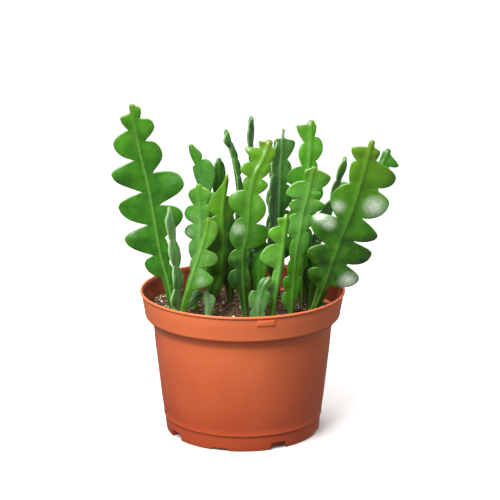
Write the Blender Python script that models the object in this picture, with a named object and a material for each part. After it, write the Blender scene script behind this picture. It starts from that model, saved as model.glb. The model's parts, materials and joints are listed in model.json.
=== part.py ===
"""A potted ric rac cactus: flat zig-zag stems that grow from a moulded nursery pot of soil.

Metres in Blender, +Z up, with the pot's front facing -Y. The origin is the middle of the plant's width
and depth, on the surface that it stands on. The places and sizes below are in millimetres from the
middle of the pot, and the angles in degrees.
"""

import math

import bmesh
import bpy
import numpy as np

MM = 0.001

# The stems lean out further at the right, so the origin is this far to the right of the pot's middle
ORIGIN_TO_RIGHT = 10.6

# Pot: the outer wall from the lip's crown down to the foot, as (radius, height)
POT_SIDES = 60
WALL = 1.2
LIP = [(75.0, 107.6), (75.9, 108.3), (76.7, 107.7), (76.6, 106.7)]
OUTER_WALL = [
    (75.8, 106.0),
    (74.7, 99.5),
    (73.4, 92.4),
    (73.1, 89.9),
    (72.5, 88.9),
    (70.0, 86.0),
    (68.0, 83.4),
    (66.9, 80.4),
    (65.7, 66.0),
    (61.6, 27.4),
    (59.6, 12.2),
]
FOOT = [(59.1, 11.2), (58.2, 0.8), (57.6, 0.0)]
FOOT_WIDTH = 2.4
FLOOR_TOP = 8.2
FLOOR_UNDER = 6.6
FLOOR_RISE = 1.2
FLOOR_FLAT_FROM = 49.0
FLOOR_EDGE = 57.4

# Pot: the notches in its foot ring, the drain holes and the plain raised tab under its lip
NOTCH_WIDTH = 12.8
NOTCH_CORNER = 1.4
CUT_PAST = 2.0
DEEP_NOTCH = 5.6
SHALLOW_NOTCH = 2.2
DEEP_NOTCHES = 27.0, 120.0, 210.0, 302.0
SHALLOW_NOTCHES = 73.0, 165.0, 256.0, 343.5
DRAINS = 8
DRAIN_RADIUS = 4.5
DRAIN_CIRCLE = 41.0
DRAIN_SIDES = 12
TAB_WIDTH = 12.4
TAB_LOW, TAB_HIGH = 100.9, 105.1
TAB_PROUD = 0.7
TAB_SUNK = 0.6
TAB_TURN = 13.0

# Soil: its uneven top is a gentle slope with broad and narrow lumps on it. Lumps are given as their
# height and, for x and y, the distance in which their wave turns by one radian.
SOIL_LEVEL = 91.5
SOIL_SLOPE = (-0.03, -0.02)
BROAD_LUMPS = 1.0, 8.5, 10.2
NARROW_LUMPS = 0.6, 6.3, 4.9
SOIL_SIDE_BELOW = 4.0
SOIL_GAP = 0.35
SOIL_SIDES = 40
SOIL_RINGS = 8

# Stems: half sizes of the section, and how they stand in the soil
PEG = 11.0
NECK = 2.3
NECK_TOP = 3.0
LOWEST_SINUS = 4.0
TIP = 2.2
TIP_TAPER = 0.8
RIB_HALF = 2.1
MIDDLE_HALF = 1.3
EDGE_HALF = 0.8
HOLE_GAP = 0.35
HOLE_SIDES = 10
HOLE_ABOVE = 8.0

# Stems: a side's curl is counted over this width, rises and falls with the wave, and grows in above
# the soil as the fold does. The roundness steps are in degrees of a lobe's flank and brow.
CURL_WIDTH = 20.0
WAVE_STEP = 9.0
LEFT_WAVE_START, RIGHT_WAVE_START = 1.3, 3.9
LEAST_BEND = 1e-6
FOLD_FROM, FOLD_OVER = 2.0, 12.0
SINUS_SHARE = 0.7
SLOPE_POWER = 2.4
FLANK_STEPS = (0, 35, 65, 90)
BROW_STEPS = (62, 30)
RIB_STEP = 5.0
SPAN_STEPS = 16

# Each stem, seen from the pot's front. rib: the midrib from the soil to the tip, as (x, y, z).
# left, right: the lobes going up, as (where it starts on the rib, where its tip is, how far it
# reaches), and two roundnesses where a lobe has its own. facing: which way the blade looks from foot
# to tip, turned to the right from the front. fold: how far the left and right wings are folded
# forward. shape: the roundness of the lobes' flanks and brows, left and then right, where 2 is a
# quarter circle and less is a slope that ends in a round tip. crown: the bare tip's length, left and
# right. sinus: the blade's half width between two lobes. tip: the bare tip's half width.
STEMS = {
    "stem_left_tall": dict(
        rib=[(-51, -18, 91), (-54.5, -17, 115.5), (-60, -17, 137.5), (-64.5, -17.5, 166.5),
            (-68.5, -20, 192), (-74, -24.5, 219), (-78.5, -32, 253)],
        left=[(30.5, 43.5, 13.5), (49, 64, 24), (72, 86.5, 25.5), (97.5, 117, 24), (123, 135.5, 18),
            (146, 155.5, 10)],
        right=[(21, 31.5, 6.5), (40, 50.5, 7), (60.5, 76.5, 21), (85.5, 99.5, 26), (110.5, 123.5, 15.5),
            (136, 146.5, 13.5), (153.5, 160.5, 6)],
        facing=(0, 0, 0), curl=(-5, -7), wave=8, middle_row=True, shape=(1.5, 1.6, 1.3, 2.3),
        crown=(7, 2), sinus=5.5,
    ),
    "stem_left_edge_on": dict(
        rib=[(-48, -31, 91), (-48.5, -31, 108.5), (-48, -31, 124), (-49.5, -31, 143.5), (-51, -31, 154),
            (-52, -31, 168), (-53, -31, 178)],
        left=[(13, 19.5, 10.5), (26.5, 35.5, 10.5), (44, 55, 11.5), (63.5, 78, 8.5)],
        right=[(11.5, 15.5, 8.5), (23.5, 30.5, 10.5), (40.5, 50, 10), (61, 71.5, 7)],
        facing=(66, 72, 70), curl=(8, -8), wave=4, shape=(1.5, 1.5, 1.5, 1.5), sinus=5,
    ),
    "stem_back_left": dict(
        rib=[(-24, 12, 91), (-25.5, 11, 131), (-27.5, 9.5, 170), (-31.5, 9, 195), (-38.5, 9, 216)],
        left=[(27.5, 39.5, 6.5), (46.5, 58.5, 7), (65.5, 77.5, 7.5), (94, 104.5, 5),
            (110.5, 119.5, 3, 1.3, 1.2)],
        right=[(22, 32.5, 7), (38.5, 49, 8), (55, 65.5, 8.5), (72, 83.5, 10.5), (88.5, 104.5, 11),
            (113, 116.5, 5.5, 1.3, 1.2)],
        facing=(-10, -10, -5), shape=(1.4, 2.0, 1.4, 2.0), crown=(2, 2), sinus=5,
    ),
    "stem_back_left_blunt": dict(
        rib=[(-20.5, 26, 91), (-19.5, 28, 144.5), (-18, 30, 176.5), (-18, 34, 201)],
        left=[(21, 31.5, 8), (40, 50.5, 8.5), (59, 69.5, 9.5), (81.5, 90.5, 6)],
        right=[(17, 27.5, 7.5), (36, 46.5, 8), (55, 65.5, 8.5), (81, 99.5, 5.5)],
        facing=(25, 30, 35), shape=(1.4, 2.0, 1.4, 2.0), sinus=5,
    ),
    "stem_mid_left": dict(
        rib=[(-36.5, -8, 91), (-33.5, -9, 130.5), (-31, -10.5, 160), (-31, -12, 173), (-31.5, -14, 185),
            (-32, -15, 191.5)],
        left=[(15, 23, 6), (28.5, 37, 5.5), (42.5, 51, 7.5), (56.5, 62, 11.5), (69, 76, 12.5),
            (84, 92.5, 8)],
        right=[(23.5, 33, 8), (40.5, 50, 8.5), (57.5, 67, 8.5), (72.5, 83, 8), (85, 93, 8.5)],
        facing=(-12, -8, -8), curl=(-12, -6), middle_row=True, shape=(1.4, 2.0, 1.4, 2.0), sinus=5,
    ),
    "stem_front_left": dict(
        rib=[(-44, -40, 91), (-43.5, -40, 105), (-39, -40, 120.5), (-34, -39, 136), (-28.5, -37, 152.5),
            (-25.5, -36, 164), (-24.5, -35, 171.5)],
        left=[(26, 33, 8.5), (41.5, 48.5, 12.5), (57, 63.5, 9), (68, 78.5, 10)],
        right=[(29, 40, 16), (46, 54.2, 14.8, 1.4, 2.4), (60, 73, 8.5, 1.3, 2.4)],
        facing=(-6, -4, 0), fold=(-80, 0), curl=(-2, -12), middle_row=True, shape=(1.4, 1.5, 1.5, 1.6),
        sinus=4,
    ),
    "stem_folded_tip": dict(
        rib=[(-27, -19, 91), (-24.5, -20, 103), (-19.5, -21, 113.5), (-16.5, -21, 123.5),
            (-14.5, -23.5, 147), (-14.5, -25.5, 172), (-12.5, -27.5, 189.5), (-11, -30, 201.5)],
        left=[(14, 19, 5), (34, 41.5, 8), (46, 54, 14.5), (66, 72.5, 10.5), (81.5, 85.5, 11, 1.2, 1.08)],
        right=[(13, 24, 6), (30, 36, 4.5), (44.5, 53, 6), (60, 65, 6), (69, 87, 12.7, 1.3, 1.2),
            (96, 108.5, 2)],
        facing=(0, 0, 0), fold=(0, -45), middle_row=True, shape=(1.4, 2.0, 1.4, 2.0), crown=(1.5, 3),
        sinus=4.5, tip=1.2,
    ),
    "stem_middle_tall": dict(
        rib=[(3, -36, 91), (0.5, -35, 123), (0.5, -34, 144.5), (3.5, -33, 160), (5.5, -31, 185),
            (9, -29, 200.5), (15.5, -27, 213), (20, -25, 226)],
        left=[(24.5, 34.5, 11), (41.5, 48, 10.5), (55.5, 65, 12.5), (79.5, 91, 15), (99, 104, 7),
            (108.5, 111.5, 12), (118, 126.5, 15.5, 1.4, 1.6), (130.5, 136, 7.5)],
        right=[(25.5, 33.5, 5), (42, 49.5, 5), (57, 69.5, 16, 1.4, 2.4), (75.5, 86.5, 12.5),
            (97.5, 106.5, 11.5), (110, 118.5, 8.5), (123, 128.5, 7.5), (133.5, 137, 3)],
        facing=(0, 0, 0), curl=(-10, -8), wave=8, middle_row=True, shape=(1.5, 1.8, 1.6, 1.6),
        sinus=5.5, tip=3,
    ),
    "stem_spike_left": dict(
        rib=[(-1.5, 30, 91), (-1, 29.5, 145.5), (-3, 29.5, 176.5), (-6, 31, 198), (-10, 33, 212),
            (-13, 35, 222.5)],
        left=[(29, 40.5, 7.5), (48, 59.5, 8), (75, 83.5, 3), (95.5, 101.5, 2), (111.5, 115.5, 3),
            (119.5, 124.5, 9, 1.5, 1.2)],
        right=[(30, 38.5, 7), (49, 57.5, 7.5), (77, 83, 6.5), (96, 101.5, 7), (108.5, 112.5, 5.5),
            (122.5, 126.5, 2.5)],
        facing=(60, 62, 66), shape=(1.4, 2.0, 1.4, 2.0), sinus=4, tip=1.2,
    ),
    "stem_spike_middle": dict(
        rib=[(6.5, 40, 91), (6.5, 40.5, 147), (6.5, 42.5, 193.5), (6, 46, 212), (6.5, 50, 230)],
        left=[(15.5, 27, 8), (34.5, 46, 8.5), (53.5, 66.5, 10), (84.5, 94, 9.5), (107, 115, 9.5),
            (129.5, 133, 6.5)],
        right=[(23.5, 33.5, 8.5), (42.5, 52.5, 13), (70.5, 78, 10.5), (94, 103, 8), (118, 126.5, 7)],
        facing=(72, 72, 74), shape=(1.4, 2.0, 1.4, 2.0), sinus=5, tip=1.0,
    ),
    "stem_back_broad": dict(
        rib=[(26.5, 34, 91), (27, 33.5, 140.5), (27.5, 33.5, 168), (28.5, 35, 195), (30, 37, 213.5),
            (31, 40, 222)],
        left=[(27, 38, 8.5), (46, 57, 9.5), (68, 77, 10), (88, 98.5, 8.5), (109, 120.5, 6.5, 1.6, 3.0)],
        right=[(30, 39, 12.5), (49, 58, 13.5), (69.5, 78.5, 10.5), (89.5, 99, 9), (108, 121.5, 10, 1.3, 3.5)],
        facing=(8, 6, 4), middle_row=True, shape=(1.4, 2.0, 1.4, 2.0), crown=(8, 8), sinus=5, tip=1.0,
    ),
    "stem_middle_edge_on": dict(
        rib=[(21.5, 6, 91), (21.5, 6.5, 143.5), (22.5, 7.5, 174), (24, 8.5, 189), (23.5, 9.5, 200),
            (26, 11, 217.5)],
        left=[(27, 37, 8.5), (46, 56, 9.5), (67, 75, 8), (86.5, 92.5, 8), (102, 109, 5.5)],
        right=[(29.5, 38, 8), (48.5, 57, 8.5), (72, 79, 7), (90.5, 97, 6), (106.5, 114, 7)],
        facing=(64, 66, 66), shape=(1.4, 2.0, 1.4, 2.0), sinus=5,
    ),
    "stem_right_high": dict(
        rib=[(44.5, 14, 91), (44.5, 13.5, 148), (47, 13.5, 179), (49, 15, 199.5), (50.5, 17, 216),
            (51, 19, 232.5)],
        left=[(19, 28, 11), (38, 47, 12), (57, 66, 11), (78.5, 84, 10.5), (90.5, 95.5, 15.5),
            (107, 117.5, 8.5), (124.5, 137, 11, 1.3, 3.2)],
        right=[(25.5, 35, 8), (43, 52.5, 8.5), (60, 70, 10), (77.5, 87.5, 13.5), (96, 104, 7.5),
            (111.5, 121.5, 9.5, 1.5, 1.8), (129.5, 136.5, 4)],
        facing=(4, 4, 2), middle_row=True, shape=(1.4, 2.0, 1.4, 2.0), crown=(4, 3), sinus=5, tip=3,
    ),
    "stem_right_mid": dict(
        rib=[(36, -12, 91), (37.5, -13, 115.5), (39.5, -15.5, 141.5), (42, -17, 156.5), (44, -18.5, 170.5),
            (47.5, -21.5, 185), (50, -23.5, 198), (52, -26, 206.5)],
        left=[(4, 12, 8), (17.5, 25, 8), (30, 36, 5.5), (42, 50.5, 5), (59.5, 67, 11.5), (79, 84, 11.5),
            (90.5, 92.5, 16), (105, 112.5, 6.5, 1.5, 1.5)],
        right=[(14.5, 24, 6), (30.5, 40, 6), (46.5, 58, 8.5), (66, 74.5, 7.5), (80, 89.5, 14.5),
            (93, 97.5, 9.5), (99.5, 110.5, 14, 1.6, 1.9)],
        facing=(0, 0, 0), curl=(8, -8), middle_row=True, shape=(1.4, 2.0, 1.4, 2.0), crown=(2, 2),
        sinus=5,
    ),
    "stem_front_right": dict(
        rib=[(20.5, -48, 91), (23.5, -47.5, 115.5), (26, -46.5, 129), (28, -45.5, 143.5), (30, -44.5, 158),
            (32, -43, 175.5)],
        left=[(29, 35, 5), (45, 52, 16), (63, 70.5, 12.5), (76, 81.5, 7)],
        right=[(22, 32, 6), (39.5, 49.5, 5.5), (57, 67.5, 5.5), (70.5, 79, 5)],
        facing=(0, 0, 0), fold=(10, -72), curl=(10, -6), middle_row=True, shape=(1.4, 2.0, 1.4, 2.0),
        sinus=5,
    ),
    "stem_front_small": dict(
        rib=[(10.5, -58, 91), (11, -57.5, 104), (12.3, -57, 116), (15.5, -55.5, 125.5), (20.5, -53.5, 131.5)],
        left=[(5, 11.5, 5.8), (17.5, 26, 8, 1.5, 2.6), (30, 37, 4.5)],
        right=[(5.5, 12, 5.4), (17, 27, 7.5), (32.5, 38.5, 4.5)],
        facing=(0, 0, 0), shape=(1.4, 2.0, 1.4, 2.0), sinus=5,
    ),
    "stem_right_tall": dict(
        rib=[(49, -26, 91), (54.5, -27, 104.5), (58, -27.5, 114), (65, -30.5, 136), (71.5, -33.5, 156.5),
            (78.5, -37, 176), (85, -41, 200.5), (92, -45, 229.5)],
        left=[(27, 36.5, 14.5), (42, 52.5, 20), (60.5, 75, 25.5), (82.5, 96.5, 17.5), (111, 124, 10.5),
            (129.5, 137.5, 13)],
        right=[(30.5, 41, 23.5), (50, 60, 28.5), (69, 77, 25.5), (88, 103, 24), (112, 119.5, 26),
            (131.5, 138.5, 8)],
        facing=(4, 4, 4), curl=(-12, -10), wave=10, middle_row=True, shape=(1.6, 1.8, 2.0, 1.45),
        crown=(6, 5), sinus=8,
    ),
    "stem_right_back": dict(
        rib=[(57, 8, 91), (66.5, 7, 121.5), (75, 8, 145), (82.5, 8, 161), (92, 9, 177.5),
            (100.5, 9.5, 195), (108.5, 10, 212.5)],
        left=[(30.5, 38, 14), (51, 58.5, 12), (73, 94, 21), (97, 105.5, 11), (117, 129, 3.5)],
        right=[(28.5, 37.5, 10.5), (52, 63, 10.5), (76.5, 93, 8.5), (102, 113.5, 8),
            (120, 123, 12.5, 1.6, 1.2)],
        facing=(0, 0, 0), middle_row=True, shape=(1.4, 2.0, 1.4, 2.0), sinus=5,
    ),
    "stem_right_wavy": dict(
        rib=[(48, 27, 91), (52, 26.5, 121), (60.5, 26.5, 145), (67, 25.5, 166), (69.5, 26, 177.5),
            (73, 25, 188.5), (75.5, 25.5, 196), (77, 26, 203.5)],
        left=[(19.5, 29.5, 8.5), (38.5, 48.5, 12), (59, 69.5, 12.5), (82, 90, 6.5), (98, 105.5, 6)],
        right=[(20, 28.5, 6), (39, 47.5, 4), (60.5, 68.5, 5), (81.5, 91, 5), (97, 107, 4.5)],
        facing=(50, 54, 60), shape=(1.4, 2.0, 1.4, 2.0), sinus=4, tip=1.0,
    ),
    "stem_stub": dict(
        rib=[(-25.5, -34, 91), (-25.5, -34, 108.5), (-26.5, -34, 115.5)],
        left=[(13, 19.5, 3)],
        right=[(11, 17.5, 6)],
        facing=(0, 0), shape=(1.4, 2.0, 1.4, 2.0), sinus=5,
    ),
    "stem_stub_leaning": dict(
        rib=[(-43.5, -24, 91), (-42.5, -24, 100.5), (-38, -25, 105.5), (-29.5, -26, 113)],
        left=[(9, 18.5, 4)],
        right=[(9, 20, 4.2)],
        facing=(-10, -10), shape=(1.4, 2.0, 1.4, 2.0), sinus=5, tip=3,
    ),
    "stem_low_middle": dict(
        rib=[(11.5, -24, 91), (12, -25, 116), (12.5, -26, 133.5), (14, -27, 145.5), (15.5, -28, 154)],
        left=[(28, 39.5, 7.5), (45.5, 49.5, 9), (53, 56, 6.5)],
        right=[(30.5, 41.5, 5.5), (49.5, 57.5, 4)],
        facing=(0, 0, 0), curl=(10, -6), shape=(1.4, 2.0, 1.4, 2.0), sinus=5,
    ),
    "stem_low_back": dict(
        rib=[(-9.5, 13, 91), (-9.5, 13, 118), (-9, 13.5, 143), (-8.5, 14, 161)],
        left=[(15, 25, 8.5), (33, 43, 9), (51, 60, 7)],
        right=[(19, 29, 8.5), (38, 48, 9), (55, 63, 6)],
        facing=(6, 2), shape=(1.4, 2.0, 1.4, 2.0), sinus=6,
    ),
    "stem_low_right": dict(
        rib=[(50, 0, 91), (51, -1, 111), (53, -2, 129), (56, -3, 146)],
        left=[(17, 26, 7), (34.5, 43.5, 5.5)],
        right=[(16, 26.5, 8), (34, 44, 6.5)],
        facing=(-6, -4), shape=(1.4, 2.0, 1.4, 2.0), sinus=5,
    ),
}
DEFAULTS = dict(fold=(0, 0), curl=(-6, -6), wave=6, crown=(3, 3), tip=TIP, middle_row=False)

# Plain finishes: linear red, green and blue, then roughness. Faces that meet at more than the sharp
# angle are shaded with an edge between them.
POT_FINISH = (0.66, 0.155, 0.065), 0.45
SOIL_FINISH = (0.045, 0.022, 0.012), 0.95
STEM_FINISH = (0.095, 0.30, 0.045), 0.4
SHARP_ANGLE = math.radians(38)


def material(name, colour, roughness):
    """A plain Principled material of this name."""
    made = bpy.data.materials.new(name)
    made.use_nodes = True
    shader = made.node_tree.nodes["Principled BSDF"]
    shader.inputs["Base Color"].default_value = (*colour, 1.0)
    shader.inputs["Roughness"].default_value = roughness
    shader.inputs["Metallic"].default_value = 0.0
    return made


def add_object(name, mesh, finish=None):
    """A scene object of this mesh."""
    made = bpy.data.objects.new(name, mesh)
    bpy.context.scene.collection.objects.link(made)
    if finish:
        mesh.materials.append(finish)
    return made


def mesh_of(name, points, faces):
    """A mesh from points in millimetres and faces, with all faces turned outward."""
    shape = bmesh.new()
    corners = [shape.verts.new(np.array(point) * MM) for point in points]
    for face in faces:
        shape.faces.new([corners[k] for k in face])
    bmesh.ops.recalc_face_normals(shape, faces=shape.faces)
    mesh = bpy.data.meshes.new(name)
    shape.to_mesh(mesh)
    shape.free()
    return mesh


def polar(radius, turn):
    """The point at this radius, turned to the right from the pot's front."""
    return radius * math.sin(math.radians(turn)), -radius * math.cos(math.radians(turn))


def turned(name, profile, sides):
    """A closed mesh turned round Z from a profile of (radius, height) that starts and ends on the axis."""
    points, rings = [], []
    for radius, height in profile:
        count = sides if radius > 0 else 1
        rings.append(range(len(points), len(points) + count))
        points += [(*polar(radius, 360 * k / sides), height) for k in range(count)]
    faces = []
    for low, high in zip(rings, rings[1:]):
        for k in range(sides):
            below = [low[k % len(low)], low[(k + 1) % len(low)]]
            above = [high[(k + 1) % len(high)], high[k % len(high)]]
            faces.append(list(dict.fromkeys(below + above)))
    return mesh_of(name, points, faces)


def prism(name, outline, low, high):
    """A closed mesh: this outline of (x, z) points, drawn out along y from low to high."""
    count = len(outline)
    points = [(x, low, z) for x, z in outline] + [(x, high, z) for x, z in outline]
    faces = [[k, (k + 1) % count, (k + 1) % count + count, k + count] for k in range(count)]
    return mesh_of(name, points, faces + [list(range(count)), list(range(count, 2 * count))])


def cylinder(name, radius, sides, start, end):
    """A closed mesh: a round bar from one point to another."""
    start, end = np.array(start, float), np.array(end, float)
    along = (end - start) / np.linalg.norm(end - start)
    across = np.cross(along, (1.0, 0.0, 0.0) if abs(along[0]) < 0.9 else (0.0, 1.0, 0.0))
    across /= np.linalg.norm(across)
    other = np.cross(along, across)
    turns = [2 * math.pi * k / sides for k in range(sides)]
    ring = [radius * (math.cos(turn) * across + math.sin(turn) * other) for turn in turns]
    points = [start + point for point in ring] + [end + point for point in ring]
    faces = [[k, (k + 1) % sides, (k + 1) % sides + sides, k + sides] for k in range(sides)]
    return mesh_of(name, points, faces + [list(range(sides)), list(range(sides, 2 * sides))])


def apply_boolean(target, tools, operation):
    """Cuts the tools from the target, or joins them to it, and removes them."""
    group = bpy.data.collections.new(target.name + "_tools")
    for tool in tools:
        group.objects.link(tool)
        bpy.context.scene.collection.objects.unlink(tool)
    bpy.context.scene.collection.children.link(group)
    step = target.modifiers.new(operation.lower(), "BOOLEAN")
    step.operation = operation
    step.solver = "EXACT"
    step.operand_type = "COLLECTION"
    step.collection = group
    graph = bpy.context.evaluated_depsgraph_get()
    result = bpy.data.meshes.new_from_object(target.evaluated_get(graph))
    target.modifiers.clear()
    target.data = result
    for tool in list(group.objects):
        bpy.data.objects.remove(tool)
    bpy.data.collections.remove(group)


def inner_wall():
    """The pot's inner wall from under the lip down to the floor: the outer wall, one thickness inside it."""
    wall = np.array(OUTER_WALL)
    slope = np.gradient(wall, axis=0)
    slope /= np.linalg.norm(slope, axis=1)[:, None]
    inside = wall + WALL * np.stack([slope[:, 1], -slope[:, 0]], 1)
    return [(radius, height) for radius, height in inside[:-1]] + [(FLOOR_EDGE, FLOOR_TOP)]


def pot_profile():
    """The pot's section from the middle of its underside, up the outside, over the lip and down inside."""
    foot_inside = FOOT[-1][0] - FOOT_WIDTH
    under = [(0, FLOOR_UNDER + FLOOR_RISE), (FLOOR_FLAT_FROM, FLOOR_UNDER), (foot_inside, FLOOR_UNDER)]
    outside = [(foot_inside, 0.0)] + (OUTER_WALL + FOOT)[::-1]
    over = LIP[::-1]
    floor = [(FLOOR_FLAT_FROM, FLOOR_TOP), (0, FLOOR_TOP + FLOOR_RISE)]
    return under + outside + over + inner_wall() + floor


def notch_tool(name, height, turn):
    """A cutter for one notch in the foot ring, with round upper corners."""
    half, corner = NOTCH_WIDTH / 2, min(NOTCH_CORNER, height / 2)
    outline = [(-half, -CUT_PAST), (half, -CUT_PAST)]
    for side, angles in ((1, (0, 45, 90)), (-1, (90, 45, 0))):
        for angle in angles:
            x = half - corner + corner * math.cos(math.radians(angle))
            z = height - corner + corner * math.sin(math.radians(angle))
            outline.append((side * x, z))
    outer, inner = OUTER_WALL[-1][0] + CUT_PAST, FOOT[-1][0] - FOOT_WIDTH - CUT_PAST
    tool = add_object(name, prism(name, outline, -outer, -inner))
    tool.rotation_euler.z = math.radians(turn)
    return tool


def drain_tool(name, turn):
    """A cutter for one drain hole in the floor."""
    x, y = polar(DRAIN_CIRCLE, turn)
    low, high = (x, y, FLOOR_UNDER - CUT_PAST), (x, y, FLOOR_TOP + FLOOR_RISE + CUT_PAST)
    return add_object(name, cylinder(name, DRAIN_RADIUS, DRAIN_SIDES, low, high))


def tab_block():
    """The plain raised tab on the collar, just under the lip."""
    wall = np.array(OUTER_WALL[::-1])
    low, high = (np.interp(z, wall[:, 1], wall[:, 0]) for z in (TAB_LOW, TAB_HIGH))
    front = [(low + TAB_PROUD, TAB_LOW), (high + TAB_PROUD, TAB_HIGH)]
    behind = [(high - TAB_SUNK, TAB_HIGH), (low - TAB_SUNK, TAB_LOW)]
    points = [(side * TAB_WIDTH / 2, -radius, z) for side in (-1, 1) for radius, z in front + behind]
    sides = [[k, (k + 1) % 4, (k + 1) % 4 + 4, k + 4] for k in range(4)]
    block = add_object("tab", mesh_of("tab", points, sides + [[0, 1, 2, 3], [4, 5, 6, 7]]))
    block.rotation_euler.z = math.radians(TAB_TURN)
    return block


def make_pot():
    """The moulded pot, with the tab joined on and the notches and drain holes cut."""
    plastic = material("terracotta_plastic", *POT_FINISH)
    pot = add_object("pot", turned("pot", pot_profile(), POT_SIDES), plastic)
    apply_boolean(pot, [tab_block()], "UNION")
    tools = [drain_tool(f"drain_{k}", 360 * k / DRAINS) for k in range(DRAINS)]
    for height, turns in ((DEEP_NOTCH, DEEP_NOTCHES), (SHALLOW_NOTCH, SHALLOW_NOTCHES)):
        tools += [notch_tool(f"notch_{turn:.0f}", height, turn) for turn in turns]
    apply_boolean(pot, tools, "DIFFERENCE")
    pot.data.shade_smooth()
    pot.data.set_sharp_from_angle(angle=SHARP_ANGLE)
    return pot


def soil_height(x, y):
    """The soil's uneven top, which lies a little higher at the left and the front."""
    slope = SOIL_SLOPE[0] * x + SOIL_SLOPE[1] * y
    rise, along, across = BROAD_LUMPS
    broad = rise * math.sin(x / along) * math.cos(y / across)
    rise, along, across = NARROW_LUMPS
    narrow = rise * math.sin(x / along + y / across)
    return SOIL_LEVEL + slope + broad + narrow


def soil_wall():
    """The soil's side from its bottom edge up to its top edge, just clear of the pot's inner wall."""
    flats = math.cos(math.pi / POT_SIDES)
    wall = [(radius * flats - SOIL_GAP, height) for radius, height in inner_wall()[::-1]]
    top = SOIL_LEVEL - SOIL_SIDE_BELOW
    return [(wall[0][0], FLOOR_TOP + SOIL_GAP)] + [point for point in wall[1:] if point[1] < top]


def soil_solid():
    """The soil without its holes: rings for the top, each point then set to the top's height there."""
    bottom = [(0, FLOOR_TOP + FLOOR_RISE + SOIL_GAP), (FLOOR_FLAT_FROM, FLOOR_TOP + SOIL_GAP)]
    brim = inner_wall()[0][0]
    rings = [(brim * (1 - k / SOIL_RINGS), SOIL_LEVEL) for k in range(SOIL_RINGS + 1)]
    mesh = turned("soil", bottom + soil_wall() + rings, SOIL_SIDES)
    heights, radii = np.array(inner_wall()[::-1]).T[::-1]
    flats = math.cos(math.pi / POT_SIDES)
    for corner in mesh.vertices[-SOIL_RINGS * SOIL_SIDES - 1 :]:
        x, y = corner.co.x / MM, corner.co.y / MM
        height = soil_height(x, y)
        room = np.interp(height, heights, radii) * flats - SOIL_GAP
        pull = min(1.0, room / max(math.hypot(x, y), 1.0))
        corner.co = (x * pull * MM, y * pull * MM, height * MM)
    return mesh


def make_soil(stems):
    """The soil: it fills the pot, has an uneven top, and has a plain round hole for each stem's foot."""
    soil = add_object("soil", soil_solid(), material("potting_soil", *SOIL_FINISH))
    radius = (math.hypot(NECK, EDGE_HALF) + HOLE_GAP) / math.cos(math.pi / HOLE_SIDES)
    tools = []
    for stem in stems:
        low, high = stem.axis(-PEG - HOLE_GAP), stem.axis(HOLE_ABOVE)
        name = "hole_" + stem.name
        tools.append(add_object(name, cylinder(name, radius, HOLE_SIDES, low, high)))
    apply_boolean(soil, tools, "DIFFERENCE")
    return soil


def ease(angle, roundness):
    """How far an edge still is from a lobe's tip and how far it has come out, as shares of the whole."""
    angle = math.radians(angle)
    return abs(math.cos(angle)), abs(math.sin(angle)) ** ((2 / roundness) ** SLOPE_POWER)


def smooth_line(points):
    """A smooth curve through the points, as many short steps."""
    points = np.array(points, float)
    points = np.vstack([2 * points[0] - points[1], points, 2 * points[-1] - points[-2]])
    t = np.arange(SPAN_STEPS)[:, None] / SPAN_STEPS
    spans = []
    for a, b, c, d in zip(points, points[1:], points[2:], points[3:]):
        square, cube = 2 * a - 5 * b + 4 * c - d, 3 * b - a - 3 * c + d
        spans.append(0.5 * (2 * b + (c - a) * t + square * t**2 + cube * t**3))
    return np.vstack(spans + [points[-2:-1]])


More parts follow.
